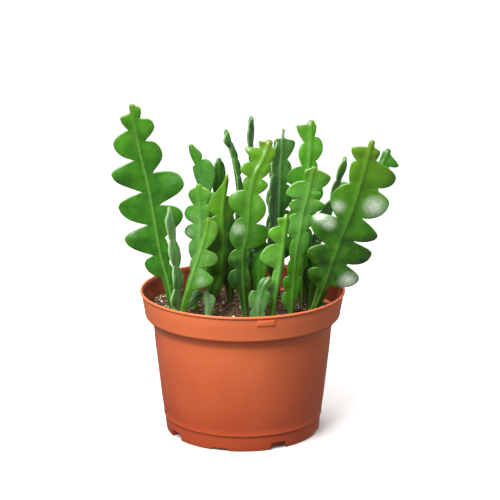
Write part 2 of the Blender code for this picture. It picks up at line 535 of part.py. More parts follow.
class Stem:
    """One flat stem: a blade that is bent along its rib, with a wing of lobes on each side."""

    def __init__(self, name, form):
        self.name = name
        self.form = {**DEFAULTS, **form}
        self.line = smooth_line(self.form["rib"])
        steps = np.linalg.norm(np.diff(self.line, axis=0), axis=1)
        self.along = np.concatenate([[0], np.cumsum(steps)])
        self.up = np.gradient(self.line, self.along, axis=0)
        self.up /= np.linalg.norm(self.up, axis=1)[:, None]
        self.top = self.along[-1]

    def read(self, values, s):
        """Rows of values at the places s along the rib."""
        return np.stack([np.interp(s, self.along, column) for column in values.T], 1)

    def axis(self, s):
        """The point at s on the rib, which runs on straight below the soil."""
        return self.line[0] + self.up[0] * s

    def frames(self, s):
        """The rib's points at s, with the directions to the blade's right and to its front."""
        inside = np.clip(s, 0, self.top)
        up = self.read(self.up, inside)
        up /= np.linalg.norm(up, axis=1)[:, None]
        centre = self.read(self.line, inside) + up * (s - inside)[:, None]
        facing = self.form["facing"]
        turn = np.radians(np.interp(inside, np.linspace(0, self.top, len(facing)), facing))
        ahead = np.stack([np.sin(turn), -np.cos(turn), 0 * turn], 1)
        side = np.cross(up, ahead)
        side /= np.linalg.norm(side, axis=1)[:, None]
        return centre, side, np.cross(side, up)

    def sheet(self, s, v, off):
        """Points at s along the rib and v out from it, left below zero, off the blade's middle sheet."""
        centre, side, front = self.frames(s)
        left = v < 0
        sign = np.where(left, -1.0, 1.0)[:, None]
        grown = np.clip((s - FOLD_FROM) / FOLD_OVER, 0, 1)
        fold = (np.radians(np.where(left, *self.form["fold"])) * grown)[:, None]
        start = np.where(left, LEFT_WAVE_START, RIGHT_WAVE_START)
        wave = self.form["wave"] * np.sin(s / WAVE_STEP + start)
        bend = np.radians(np.where(left, *self.form["curl"]) + wave) / CURL_WIDTH * grown
        bend = np.where(np.abs(bend) < LEAST_BEND, LEAST_BEND, bend)[:, None]
        out = np.abs(v)[:, None]
        way = sign * side * np.cos(fold) + front * np.sin(fold)
        face = front * np.cos(fold) - sign * side * np.sin(fold)
        point = centre + way * np.sin(bend * out) / bend + face * (1 - np.cos(bend * out)) / bend
        normal = face * np.cos(bend * out) - way * np.sin(bend * out)
        normal = np.where(out < LEAST_BEND, front, normal)
        return point + normal * off[:, None]

    def edge(self, left):
        """One side's edge from foot to tip, as rows of (place on the rib that it belongs to, s, v)."""
        form = self.form
        lobes = form["left" if left else "right"]
        shape = form["shape"][:2] if left else form["shape"][2:]
        crown = self.top - form["crown"][0 if left else 1]
        starts = [lobe[0] for lobe in lobes] + [crown]
        halves = [min(form["sinus"], LOWEST_SINUS)] + [form["sinus"]] * (len(lobes) - 1) + [form["tip"]]
        rows = [(-PEG, -PEG, NECK), (NECK_TOP, NECK_TOP, NECK)]
        for k, (start, tip, reach, *own) in enumerate(lobes):
            flank, brow = own or shape
            end = starts[k + 1]
            low, high = (min(half, reach * SINUS_SHARE) for half in halves[k : k + 2])
            rounds = [(ease(angle, flank), start, low) for angle in FLANK_STEPS]
            rounds += [(ease(angle, brow), end, high) for angle in BROW_STEPS]
            for step, ((back, out), foot, half) in enumerate(rounds):
                place = start + (end - start) * step / len(rounds)
                rows.append((place, tip + (foot - tip) * back, half + (reach - half) * out))
        rows += [(crown, crown, form["tip"]), (self.top, self.top, form["tip"] * TIP_TAPER)]
        return np.array(rows) * (1, 1, -1 if left else 1)

    def rib_places(self):
        """Where the rib has points: at the lobes' starts and tips, and no closer than one step."""
        wanted = [lobe[k] for side in ("left", "right") for lobe in self.form[side] for k in (0, 1)]
        places = [-PEG, NECK_TOP]
        for place in sorted(wanted):
            if place - places[-1] >= RIB_STEP:
                places.append(place)
        if self.top - places[-1] < RIB_STEP:
            places.pop()
        return np.array(places + [self.top])


def zip_rows(first, second, first_at, second_at):
    """Triangles between two rows of points that run the same way, each with its own places."""
    faces, i, j = [], 0, 0
    while i < len(first) - 1 or j < len(second) - 1:
        first_next = j == len(second) - 1 or (i < len(first) - 1 and first_at[i + 1] <= second_at[j + 1])
        if first_next:
            faces.append((first[i], first[i + 1], second[j]))
            i += 1
        else:
            faces.append((first[i], second[j + 1], second[j]))
            j += 1
    return faces


def blade_rows(stem):
    """The blade's rows of points from left edge to right edge, each as (places, s, v, half thickness)."""
    places = stem.rib_places()
    rib = (places, places, 0 * places, RIB_HALF + 0 * places)
    sides = []
    for left in (True, False):
        place, s, v = stem.edge(left).T
        rows = [(place, s, v, EDGE_HALF + 0 * s)]
        if stem.form["middle_row"]:
            rows.append((place, (place + s) / 2, v / 2, MIDDLE_HALF + 0 * s))
        sides.append(rows)
    return sides[0] + [rib] + sides[1][::-1]


def make_stem(stem, finish):
    """The stem's solid: the same triangles on its front and its back, joined round the rim."""
    rows = blade_rows(stem)
    s, v, half = (np.concatenate([row[k] for row in rows]) for k in (1, 2, 3))
    starts = np.cumsum([0] + [len(row[0]) for row in rows])
    index = [list(range(a, b)) for a, b in zip(starts, starts[1:])]
    front = []
    for k in range(len(rows) - 1):
        front += zip_rows(index[k], index[k + 1], rows[k][0], rows[k + 1][0])
    count = len(s)
    back = [(a + count, c + count, b + count) for a, b, c in front]
    rim = index[0] + [row[-1] for row in index[1:-1]] + index[-1][::-1] + [row[0] for row in index[-2:0:-1]]
    band = []
    for a, b in zip(rim, rim[1:] + rim[:1]):
        band += [(a, b, b + count), (a, b + count, a + count)]
    points = np.vstack([stem.sheet(s, v, half), stem.sheet(s, v, -half)])
    made = add_object(stem.name, mesh_of(stem.name, points, front + back + band), finish)
    made.data.shade_smooth()
    made.data.set_sharp_from_angle(angle=SHARP_ANGLE)
    return made


def main():
    """Builds the whole plant in its pot."""
    for old in list(bpy.data.objects):
        bpy.data.objects.remove(old)
    stems = [Stem(name, form) for name, form in STEMS.items()]
    make_pot()
    make_soil(stems)
    for stem in stems:
        make_stem(stem, material(stem.name + "_skin", *STEM_FINISH))
    for made in bpy.data.objects:
        made.location.x = -ORIGIN_TO_RIGHT * MM


if __name__ == "__main__":
    main()
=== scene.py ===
"""The looks of a potted ric rac cactus: waxy zig-zag stems in peat potting mix, in a moulded nursery pot.

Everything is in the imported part's frame, with +Z up and the pot's front facing -Y. The sizes below are
in millimetres and the angles in degrees, and MM turns a size into Blender's metres.
"""

import json
import math

import bmesh
import bpy
import numpy as np
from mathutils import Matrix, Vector, noise

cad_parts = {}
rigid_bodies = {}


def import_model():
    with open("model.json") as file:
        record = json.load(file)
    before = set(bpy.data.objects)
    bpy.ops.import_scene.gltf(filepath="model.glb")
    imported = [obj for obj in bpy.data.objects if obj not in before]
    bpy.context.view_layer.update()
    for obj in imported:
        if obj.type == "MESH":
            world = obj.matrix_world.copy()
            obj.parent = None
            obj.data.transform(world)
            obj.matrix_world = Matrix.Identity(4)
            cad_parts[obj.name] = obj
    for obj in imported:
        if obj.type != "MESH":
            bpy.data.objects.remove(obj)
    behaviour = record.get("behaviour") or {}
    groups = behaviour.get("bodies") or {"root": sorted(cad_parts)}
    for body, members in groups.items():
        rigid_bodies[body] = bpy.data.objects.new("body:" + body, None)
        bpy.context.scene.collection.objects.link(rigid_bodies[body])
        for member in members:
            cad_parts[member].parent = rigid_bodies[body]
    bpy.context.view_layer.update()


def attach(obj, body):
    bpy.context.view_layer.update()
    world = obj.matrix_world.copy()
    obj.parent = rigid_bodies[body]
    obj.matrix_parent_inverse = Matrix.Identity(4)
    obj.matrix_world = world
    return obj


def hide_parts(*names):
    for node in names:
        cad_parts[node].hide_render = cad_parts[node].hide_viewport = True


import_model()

MM = 0.001
BODY = "root"

# Places below are measured from the pot's middle, which is this far to the left of the origin
ORIGIN_TO_RIGHT = 10.6

# Camera: where it stands, how far it looks down, and its focal length on a 36 mm sensor
CAMERA_PLACE = (5.5, -1200.0, 448.8)
CAMERA_DOWN = 14.54
FOCAL_LENGTH = 119.84

# Lights: a round soft box that faces the plant's middle, as its turn from the front to the right, its
# height above the horizon, its distance, its width and its light at the plant in watts per square metre
SOFT_BOX = -31.0, 42.0, 950.0, 570.0, 4.2
LIT_HEIGHT = 120.0

# Lights: broad far lights, as (turn, height, width of the light as an angle, strength), and the even
# light of the white room
FAR_LIGHTS = {
    "right_fill": (95.0, 25.0, 60.0, 0.5),
    "back_light": (200.0, 60.0, 40.0, 1.7),
    "top_light": (0.0, 85.0, 50.0, 1.3),
}
SKY_STRENGTH = 0.2
FLOOR_SIZE = 9000.0

# Pot: the outer wall from the lip's underside down to the foot, as (radius, height)
POT_SIDES = 192
WALL = 1.2
LIP = [(74.9, 107.2), (75.15, 107.9), (75.6, 108.25), (76.05, 108.3), (76.45, 108.1), (76.68, 107.65),
    (76.7, 107.2), (76.62, 106.8), (76.35, 106.45), (76.0, 106.25)]
COLLAR = [(75.7, 106.05), (75.48, 105.8), (75.42, 105.5), (75.42, 105.0), (75.3, 104.0), (75.1, 102.0),
    (74.7, 99.5), (74.05, 96.0), (73.4, 92.4), (73.18, 90.6), (73.1, 89.9), (72.92, 89.35), (72.5, 88.9),
    (71.9, 88.2), (71.1, 87.4), (70.0, 86.1), (69.0, 84.9), (68.0, 83.5), (67.4, 82.3), (67.1, 81.5),
    (66.95, 80.6), (66.85, 79.2), (66.7, 78.2)]
BODY_WALL = [(66.2, 72.0), (65.7, 66.0), (64.65, 56.4), (63.6, 46.7), (62.6, 37.0), (61.6, 27.4),
    (60.35, 17.9), (59.8, 13.4)]
FOOT_RIDGE = [(59.95, 12.9), (60.0, 12.55), (59.8, 12.2), (59.35, 11.8), (59.05, 11.2)]
FOOT = [(58.95, 9.2), (58.6, 4.6), (58.2, 0.8), (58.0, 0.25), (57.6, 0.0)]
FOOT_WIDTH = 2.4
FLOOR_TOP = 8.2
FLOOR_UNDER = 6.6
FLOOR_RISE = 1.2
FLOOR_FLAT_FROM = 49.0
FLOOR_EDGE = 57.4
NOTCH_WIDTH = 12.8
NOTCH_CORNER = 1.4
CUT_PAST = 2.0
DEEP_NOTCH = 5.6
SHALLOW_NOTCH = 2.2
DEEP_NOTCHES = 27.0, 120.0, 210.0, 302.0
SHALLOW_NOTCHES = 73.0, 165.0, 256.0, 343.5
DRAINS = 8
DRAIN_RADIUS = 4.5
DRAIN_CIRCLE = 41.0
TAB_WIDTH = 12.4
TAB_LOW, TAB_HIGH = 100.9, 105.1
TAB_PROUD = 0.7
TAB_SUNK = 0.6
TAB_TURN = 13.0

# Soil: a gentle slope with broad and narrow lumps, as in the solid, and crumbs on it. Lumps are given
# as their height and, for x and y, the distance in which their wave turns by one radian.
SOIL_LEVEL = 91.5
SOIL_SLOPE = (-0.03, -0.02)
BROAD_LUMPS = 1.0, 8.5, 10.2
NARROW_LUMPS = 0.6, 6.3, 4.9
SOIL_GAP = 0.35
SOIL_SIDE_BELOW = 4.0
SOIL_SIDES = 220
SOIL_RINGS = 90
FIBRE_REACH = 70.0
SOIL_ROUGHNESS = (1.1, 6.0), (0.7, 2.6), (0.35, 1.2)
MOUND_HEIGHT, MOUND_WIDTH = 1.2, 5.0
PALE_HEAPS = (-60, 16, 16), (-40, 24, 13), (-13, 8, 13), (46, 6, 12), (-8, 56, 10)
SEED = 11

# Stems: half sizes of the section, and how they stand in the soil
PEG = 11.0
NECK = 2.3
NECK_TOP = 3.0
LOWEST_SINUS = 4.0
TIP = 2.2
RIB_HALF = 2.1
RIB_SPREAD = 1.6
MIDDLE_HALF = 1.2
EDGE_HALF = 0.85
RIM_ROUND = 1.1
ROUND_FOOT = 14.0
TIP_ROUND = 5.0

# Stems: a side's curl is counted over this width, rises and falls with the wave, and grows in above
# the soil as the fold does.
CURL_WIDTH = 20.0
WAVE_STEP = 9.0
LEFT_WAVE_START, RIGHT_WAVE_START = 1.3, 3.9
LEAST_BEND = 1e-6
SLOPE_POWER = 2.4
FOLD_FROM, FOLD_OVER = 2.0, 12.0
SINUS_SHARE = 0.7
SPAN_STEPS = 16
STATION = 0.55
INNER_COLUMNS = (0.0, 0.7, 1.4, 2.2, 3.4)
INNER_SHARES = (0.0, 0.12, 0.24, 0.36, 0.48)
OUTER_COLUMNS = (1.1, 0.65, 0.3, 0.08, 0.0)
OUTER_SHARES = (0.3, 0.18, 0.08, 0.02, 0.0)
MIDDLE_COLUMNS = 5

# Stems: each lobe swells forward, as a share of its reach, about a middle that lies out along it
LOBE_SWELL = 0.1
LOBE_OUT = 0.62
LOBE_SAG = 0.08
LOBE_WIDTH = 0.36

# Stems: each lobe also leans and twists a little out of the sheet by a slope drawn at random up to these
LOBE_LEAN, LOBE_TWIST = 0.11, 0.11

# Each stem, seen from the pot's front. rib: the midrib from the soil to the tip, as (x, y, z).
# left, right: the lobes going up, as (where it starts on the rib, where its tip is, how far it
# reaches), and two roundnesses where a lobe has its own. facing: which way the blade looks from foot
# to tip, turned to the right from the front. fold: how far the left and right wings are folded
# forward. shape: the roundness of the lobes' flanks and brows, left and then right, where 2 is a
# quarter circle and less is a slope that ends in a round tip. crown: the bare tip's length, left and
# right. sinus: the blade's half width between two lobes. tip: the bare tip's half width. DEFAULTS holds
# what a stem has where it names nothing else.
STEMS = {
    "stem_left_tall": dict(
        rib=[(-51, -18, 91), (-54.5, -17, 115.5), (-60, -17, 137.5), (-64.5, -17.5, 166.5),
            (-68.5, -20, 192), (-74, -24.5, 219), (-78.5, -32, 253)],
        left=[(30.5, 43.5, 13.5), (49, 64, 24), (72, 86.5, 25.5), (97.5, 117, 24), (123, 135.5, 18),
            (146, 155.5, 10)],
        right=[(21, 31.5, 6.5), (40, 50.5, 7), (60.5, 76.5, 21), (85.5, 99.5, 26), (110.5, 123.5, 15.5),
            (136, 146.5, 13.5), (153.5, 160.5, 6)],
        curl=(-5, -7), wave=8, shape=(1.5, 1.6, 1.3, 2.3), crown=(7, 2), sinus=5.5,
    ),
    "stem_left_edge_on": dict(
        rib=[(-48, -31, 91), (-48.5, -31, 108.5), (-48, -31, 124), (-49.5, -31, 143.5), (-51, -31, 154),
            (-52, -31, 168), (-53, -31, 178)],
        left=[(13, 19.5, 10.5), (26.5, 35.5, 10.5), (44, 55, 11.5), (63.5, 78, 8.5)],
        right=[(11.5, 15.5, 8.5), (23.5, 30.5, 10.5), (40.5, 50, 10), (61, 71.5, 7)],
        facing=(66, 72, 70), curl=(8, -8), wave=4, shape=(1.5, 1.5, 1.5, 1.5),
    ),
    "stem_back_left": dict(
        rib=[(-24, 12, 91), (-25.5, 11, 131), (-27.5, 9.5, 170), (-31.5, 9, 195), (-38.5, 9, 216)],
        left=[(27.5, 39.5, 6.5), (46.5, 58.5, 7), (65.5, 77.5, 7.5), (94, 104.5, 5),
            (110.5, 119.5, 3, 1.3, 1.2)],
        right=[(22, 32.5, 7), (38.5, 49, 8), (55, 65.5, 8.5), (72, 83.5, 10.5), (88.5, 104.5, 11),
            (113, 116.5, 5.5, 1.3, 1.2)],
        facing=(-10, -10, -5), crown=(2, 2),
    ),
    "stem_back_left_blunt": dict(
        rib=[(-20.5, 26, 91), (-19.5, 28, 144.5), (-18, 30, 176.5), (-18, 34, 201)],
        left=[(21, 31.5, 8), (40, 50.5, 8.5), (59, 69.5, 9.5), (81.5, 90.5, 6)],
        right=[(17, 27.5, 7.5), (36, 46.5, 8), (55, 65.5, 8.5), (81, 99.5, 5.5)],
        facing=(25, 30, 35),
    ),
    "stem_mid_left": dict(
        rib=[(-36.5, -8, 91), (-33.5, -9, 130.5), (-31, -10.5, 160), (-31, -12, 173), (-31.5, -14, 185),
            (-32, -15, 191.5)],
        left=[(15, 23, 6), (28.5, 37, 5.5), (42.5, 51, 7.5), (56.5, 62, 11.5), (69, 76, 12.5),
            (84, 92.5, 8)],
        right=[(23.5, 33, 8), (40.5, 50, 8.5), (57.5, 67, 8.5), (72.5, 83, 8), (85, 93, 8.5)],
        facing=(-12, -8, -8), curl=(-12, -6),
    ),
    "stem_front_left": dict(
        rib=[(-44, -40, 91), (-43.5, -40, 105), (-39, -40, 120.5), (-34, -39, 136), (-28.5, -37, 152.5),
            (-25.5, -36, 164), (-24.5, -35, 171.5)],
        left=[(26, 33, 8.5), (41.5, 48.5, 12.5), (57, 63.5, 9), (68, 78.5, 10)],
        right=[(29, 40, 16), (46, 54.2, 14.8, 1.4, 2.4), (60, 73, 8.5, 1.3, 2.4)],
        facing=(-6, -4, 0), fold=(-80, 0), curl=(-2, -12), shape=(1.4, 1.5, 1.5, 1.6), sinus=4,
    ),
    "stem_folded_tip": dict(
        rib=[(-27, -19, 91), (-24.5, -20, 103), (-19.5, -21, 113.5), (-16.5, -21, 123.5),
            (-14.5, -23.5, 147), (-14.5, -25.5, 172), (-12.5, -27.5, 189.5), (-11, -30, 201.5)],
        left=[(14, 19, 5), (34, 41.5, 8), (46, 54, 14.5), (66, 72.5, 10.5), (81.5, 85.5, 11, 1.2, 1.08)],
        right=[(13, 24, 6), (30, 36, 4.5), (44.5, 53, 6), (60, 65, 6), (69, 87, 12.7, 1.3, 1.2),
            (96, 108.5, 2)],
        fold=(0, -45), crown=(1.5, 3), sinus=4.5, tip=1.2,
    ),
    "stem_middle_tall": dict(
        rib=[(3, -36, 91), (0.5, -35, 123), (0.5, -34, 144.5), (3.5, -33, 160), (5.5, -31, 185),
            (9, -29, 200.5), (15.5, -27, 213), (20, -25, 226)],
        left=[(24.5, 34.5, 11), (41.5, 48, 10.5), (55.5, 65, 12.5), (79.5, 91, 15), (99, 104, 7),
            (108.5, 111.5, 12), (118, 126.5, 15.5, 1.4, 1.6), (130.5, 136, 7.5)],
        right=[(25.5, 33.5, 5), (42, 49.5, 5), (57, 69.5, 16, 1.4, 2.4), (75.5, 86.5, 12.5),
            (97.5, 106.5, 11.5), (110, 118.5, 8.5), (123, 128.5, 7.5), (133.5, 137, 3)],
        curl=(-10, -8), wave=8, shape=(1.5, 1.8, 1.6, 1.6), sinus=5.5, tip=3,
    ),
    "stem_spike_left": dict(
        rib=[(-1.5, 30, 91), (-1, 29.5, 145.5), (-3, 29.5, 176.5), (-6, 31, 198), (-10, 33, 212),
            (-13, 35, 222.5)],
        left=[(29, 40.5, 7.5), (48, 59.5, 8), (75, 83.5, 3), (95.5, 101.5, 2), (111.5, 115.5, 3),
            (119.5, 124.5, 9, 1.5, 1.2)],
        right=[(30, 38.5, 7), (49, 57.5, 7.5), (77, 83, 6.5), (96, 101.5, 7), (108.5, 112.5, 5.5),
            (122.5, 126.5, 2.5)],
        facing=(60, 62, 66), sinus=4, tip=1.2,
    ),
    "stem_spike_middle": dict(
        rib=[(6.5, 40, 91), (6.5, 40.5, 147), (6.5, 42.5, 193.5), (6, 46, 212), (6.5, 50, 230)],
        left=[(15.5, 27, 8), (34.5, 46, 8.5), (53.5, 66.5, 10), (84.5, 94, 9.5), (107, 115, 9.5),
            (129.5, 133, 6.5)],
        right=[(23.5, 33.5, 8.5), (42.5, 52.5, 13), (70.5, 78, 10.5), (94, 103, 8), (118, 126.5, 7)],
        facing=(72, 72, 74), tip=1.0,
    ),
    "stem_back_broad": dict(
        rib=[(26.5, 34, 91), (27, 33.5, 140.5), (27.5, 33.5, 168), (28.5, 35, 195), (30, 37, 213.5),
            (31, 40, 222)],
        left=[(27, 38, 8.5), (46, 57, 9.5), (68, 77, 10), (88, 98.5, 8.5), (109, 120.5, 6.5, 1.6, 3.0)],
        right=[(30, 39, 12.5), (49, 58, 13.5), (69.5, 78.5, 10.5), (89.5, 99, 9), (108, 121.5, 10, 1.3, 3.5)],
        facing=(8, 6, 4), crown=(8, 8), tip=1.0,
    ),
    "stem_middle_edge_on": dict(
        rib=[(21.5, 6, 91), (21.5, 6.5, 143.5), (22.5, 7.5, 174), (24, 8.5, 189), (23.5, 9.5, 200),
            (26, 11, 217.5)],
        left=[(27, 37, 8.5), (46, 56, 9.5), (67, 75, 8), (86.5, 92.5, 8), (102, 109, 5.5)],
        right=[(29.5, 38, 8), (48.5, 57, 8.5), (72, 79, 7), (90.5, 97, 6), (106.5, 114, 7)],
        facing=(64, 66, 66),
    ),
    "stem_right_high": dict(
        rib=[(44.5, 14, 91), (44.5, 13.5, 148), (47, 13.5, 179), (49, 15, 199.5), (50.5, 17, 216),
            (51, 19, 232.5)],
        left=[(19, 28, 11), (38, 47, 12), (57, 66, 11), (78.5, 84, 10.5), (90.5, 95.5, 15.5),
            (107, 117.5, 8.5), (124.5, 137, 11, 1.3, 3.2)],
        right=[(25.5, 35, 8), (43, 52.5, 8.5), (60, 70, 10), (77.5, 87.5, 13.5), (96, 104, 7.5),
            (111.5, 121.5, 9.5, 1.5, 1.8), (129.5, 136.5, 4)],
        facing=(4, 4, 2), crown=(4, 3), tip=3,
    ),
    "stem_right_mid": dict(
        rib=[(36, -12, 91), (37.5, -13, 115.5), (39.5, -15.5, 141.5), (42, -17, 156.5), (44, -18.5, 170.5),
            (47.5, -21.5, 185), (50, -23.5, 198), (52, -26, 206.5)],
        left=[(4, 12, 8), (17.5, 25, 8), (30, 36, 5.5), (42, 50.5, 5), (59.5, 67, 11.5), (79, 84, 11.5),
            (90.5, 92.5, 16), (105, 112.5, 6.5, 1.5, 1.5)],
        right=[(14.5, 24, 6), (30.5, 40, 6), (46.5, 58, 8.5), (66, 74.5, 7.5), (80, 89.5, 14.5),
            (93, 97.5, 9.5), (99.5, 110.5, 14, 1.6, 1.9)],
        curl=(8, -8), crown=(2, 2),
    ),
    "stem_front_right": dict(
        rib=[(20.5, -48, 91), (23.5, -47.5, 115.5), (26, -46.5, 129), (28, -45.5, 143.5), (30, -44.5, 158),
            (32, -43, 175.5)],
        left=[(29, 35, 5), (45, 52, 16), (63, 70.5, 12.5), (76, 81.5, 7)],
        right=[(22, 32, 6), (39.5, 49.5, 5.5), (57, 67.5, 5.5), (70.5, 79, 5)],
        fold=(10, -72), curl=(10, -6),
    ),
    "stem_front_small": dict(
        rib=[(10.5, -58, 91), (11, -57.5, 104), (12.3, -57, 116), (15.5, -55.5, 125.5), (20.5, -53.5, 131.5)],
        left=[(5, 11.5, 5.8), (17.5, 26, 8, 1.5, 2.6), (30, 37, 4.5)],
        right=[(5.5, 12, 5.4), (17, 27, 7.5), (32.5, 38.5, 4.5)],
    ),
    "stem_right_tall": dict(
        rib=[(49, -26, 91), (54.5, -27, 104.5), (58, -27.5, 114), (65, -30.5, 136), (71.5, -33.5, 156.5),
            (78.5, -37, 176), (85, -41, 200.5), (92, -45, 229.5)],
        left=[(27, 36.5, 14.5), (42, 52.5, 20), (60.5, 75, 25.5), (82.5, 96.5, 17.5), (111, 124, 10.5),
            (129.5, 137.5, 13)],
        right=[(30.5, 41, 23.5), (50, 60, 28.5), (69, 77, 25.5), (88, 103, 24), (112, 119.5, 26),
            (131.5, 138.5, 8)],
        facing=(4, 4, 4), curl=(-12, -10), wave=10, shape=(1.6, 1.8, 2.0, 1.45), crown=(6, 5), sinus=8,
    ),
    "stem_right_back": dict(
        rib=[(57, 8, 91), (66.5, 7, 121.5), (75, 8, 145), (82.5, 8, 161), (92, 9, 177.5),
            (100.5, 9.5, 195), (108.5, 10, 212.5)],
        left=[(30.5, 38, 14), (51, 58.5, 12), (73, 94, 21), (97, 105.5, 11), (117, 129, 3.5)],
        right=[(28.5, 37.5, 10.5), (52, 63, 10.5), (76.5, 93, 8.5), (102, 113.5, 8),
            (120, 123, 12.5, 1.6, 1.2)],
    ),
    "stem_right_wavy": dict(
        rib=[(48, 27, 91), (52, 26.5, 121), (60.5, 26.5, 145), (67, 25.5, 166), (69.5, 26, 177.5),
            (73, 25, 188.5), (75.5, 25.5, 196), (77, 26, 203.5)],
        left=[(19.5, 29.5, 8.5), (38.5, 48.5, 12), (59, 69.5, 12.5), (82, 90, 6.5), (98, 105.5, 6)],
        right=[(20, 28.5, 6), (39, 47.5, 4), (60.5, 68.5, 5), (81.5, 91, 5), (97, 107, 4.5)],
        facing=(50, 54, 60), sinus=4, tip=1.0,
    ),
    "stem_stub": dict(
        rib=[(-25.5, -34, 91), (-25.5, -34, 108.5), (-26.5, -34, 115.5)],
        left=[(13, 19.5, 3)],
        right=[(11, 17.5, 6)],
        facing=(0, 0),
    ),
    "stem_stub_leaning": dict(
        rib=[(-43.5, -24, 91), (-42.5, -24, 100.5), (-38, -25, 105.5), (-29.5, -26, 113)],
        left=[(9, 18.5, 4)],
        right=[(9, 20, 4.2)],
        facing=(-10, -10), tip=3,
    ),
    "stem_low_middle": dict(
        rib=[(11.5, -24, 91), (12, -25, 116), (12.5, -26, 133.5), (14, -27, 145.5), (15.5, -28, 154)],
        left=[(28, 39.5, 7.5), (45.5, 49.5, 9), (53, 56, 6.5)],
        right=[(30.5, 41.5, 5.5), (49.5, 57.5, 4)],
        curl=(10, -6),
    ),
    "stem_low_back": dict(
        rib=[(-9.5, 13, 91), (-9.5, 13, 118), (-9, 13.5, 143), (-8.5, 14, 161)],
        left=[(15, 25, 8.5), (33, 43, 9), (51, 60, 7)],
        right=[(19, 29, 8.5), (38, 48, 9), (55, 63, 6)],
        facing=(6, 2), sinus=6,
    ),
    "stem_low_right": dict(
        rib=[(50, 0, 91), (51, -1, 111), (53, -2, 129), (56, -3, 146)],
        left=[(17, 26, 7), (34.5, 43.5, 5.5)],
        right=[(16, 26.5, 8), (34, 44, 6.5)],
        facing=(-6, -4),
    ),
}
DEFAULTS = dict(facing=(0, 0, 0), fold=(0, 0), curl=(-6, -6), wave=6, shape=(1.4, 2.0, 1.4, 2.0),
    crown=(3, 3), sinus=5, tip=TIP)

# What each stem's skin is like, how much new growth its tip shows, its tone from dark to light, which also
# holds painted shade for stems that stand in shade, and how much painted shade deepens its lower part
LOOKS = {
    "stem_left_tall": ("skin_young", 0.45, 0.4, 0.2),
    "stem_left_edge_on": ("skin_grey_green", 0.1, 1.0, 0.2),
    "stem_back_left": ("skin_deep", 0.3, 1.0, 0.4),
    "stem_back_left_blunt": ("skin_deep", 0.1, 0.4, 0.5),
    "stem_mid_left": ("skin_young", 0.3, 1.0, 0.3),
    "stem_front_left": ("skin_bright", 0.3, 0.8, 0.1),
    "stem_folded_tip": ("skin_bright", 0.7, 0.68, 0.2),
    "stem_middle_tall": ("skin_bright", 0.8, 0.65, 0.95),
    "stem_spike_left": ("skin_deep", 0.0, 0.5, 0.5),
    "stem_spike_middle": ("skin_deep", 0.0, 0.45, 0.5),
    "stem_back_broad": ("skin_grey_green", 0.1, 0.3, 0.5),
    "stem_middle_edge_on": ("skin_grey_green", 0.0, 0.45, 0.5),
    "stem_right_high": ("skin_young", 0.5, 0.65, 0.6),
    "stem_right_mid": ("skin_young", 0.6, 1.0, 0.4),
    "stem_front_right": ("skin_bright", 0.2, 1.0, 0.1),
    "stem_front_small": ("skin_grey_green", 0.0, 0.65, 0.2),
    "stem_right_tall": ("skin_bright", 0.9, 0.5, 0.5),
    "stem_right_back": ("skin_deep", 0.2, 0.9, 0.5),
    "stem_right_wavy": ("skin_grey_green", 0.1, 0.5, 0.4),
    "stem_stub": ("skin_deep", 0.0, 1.0, 0.0),
    "stem_stub_leaning": ("skin_deep", 0.0, 1.0, 0.0),
    "stem_low_middle": ("skin_deep", 0.1, 1.0, 0.2),
    "stem_low_back": ("skin_deep", 0.0, 0.3, 0.4),
    "stem_low_right": ("skin_deep", 0.0, 0.4, 0.4),
}

# Whitish patches on the skins, partly thick wax and partly painted highlight and sheen, as (distance up the
# rib, distance out to the right, radius, strength)
BLOOM_AND_SHEEN = {
    "stem_right_tall": [(38, 16, 6.5, 0.9), (99, 14, 7, 0.9), (92, -10, 5, 0.8), (79, -20, 5, 0.8),
        (77, -12, 5, 0.7)],
    "stem_middle_tall": [(71, -7, 5.5, 0.45)],
    "stem_front_left": [(37, 8, 5, 0.42), (50, 0, 50, 0.17)],
    "stem_left_edge_on": [(50, 0, 80, 0.27)],
    "stem_back_left": [(70, 0, 60, 0.2)],
    "stem_mid_left": [(60, 0, 60, 0.2), (62, -8, 5, 0.45)],
    "stem_right_mid": [(80, 0, 60, 0.18)],
    "stem_front_right": [(40, 0, 50, 0.17)],
    "stem_front_small": [(20, 0, 12, 0.2)],
    "stem_stub": [(14, 0, 20, 0.28)],
    "stem_stub_leaning": [(14, 0, 20, 0.28)],
}

# Over what lengths new growth, the growing tip, the brown foot and the painted shade on the lower part fade,
# how near the tip the pale rib fades out, and how wide the pale rib and rim are
YOUNG_LENGTH, APEX_LENGTH, FOOT_LENGTH, SHADE_LENGTH = 62.0, 12.0, 16.0, 95.0
RIB_FADE = 40.0
PALE_RIB, PALE_RIM = 0.75, 0.55


def linear(colour):
    """Blender's linear colour from an sRGB hex value."""
    parts = [int(colour[k : k + 2], 16) / 255 for k in (1, 3, 5)]
    return (*(p / 12.92 if p <= 0.04045 else ((p + 0.055) / 1.055) ** 2.4 for p in parts), 1.0)


def add(tree, kind, links=None, values=None, **settings):
    """Adds a node. Links and values are keyed by its inputs' names or numbers, settings by property."""
    made = tree.nodes.new(kind)
    for name, setting in settings.items():
        setattr(made, name, setting)
    for socket, value in (values or {}).items():
        made.inputs[socket].default_value = value
    for socket, source in (links or {}).items():
        tree.links.new(source, made.inputs[socket])
    return made


def blank(name):
    """A material with its Principled shader and object coordinates, as (material, tree, shader, place)."""
    made = bpy.data.materials.new(name)
    made.use_nodes = True
    tree = made.node_tree
    place = add(tree, "ShaderNodeTexCoord").outputs["Object"]
    return made, tree, tree.nodes["Principled BSDF"], place


def per_metre(size):
    """The texture scale at which a pattern repeats about every size, in millimetres."""
    return 1.0 / (size * MM)


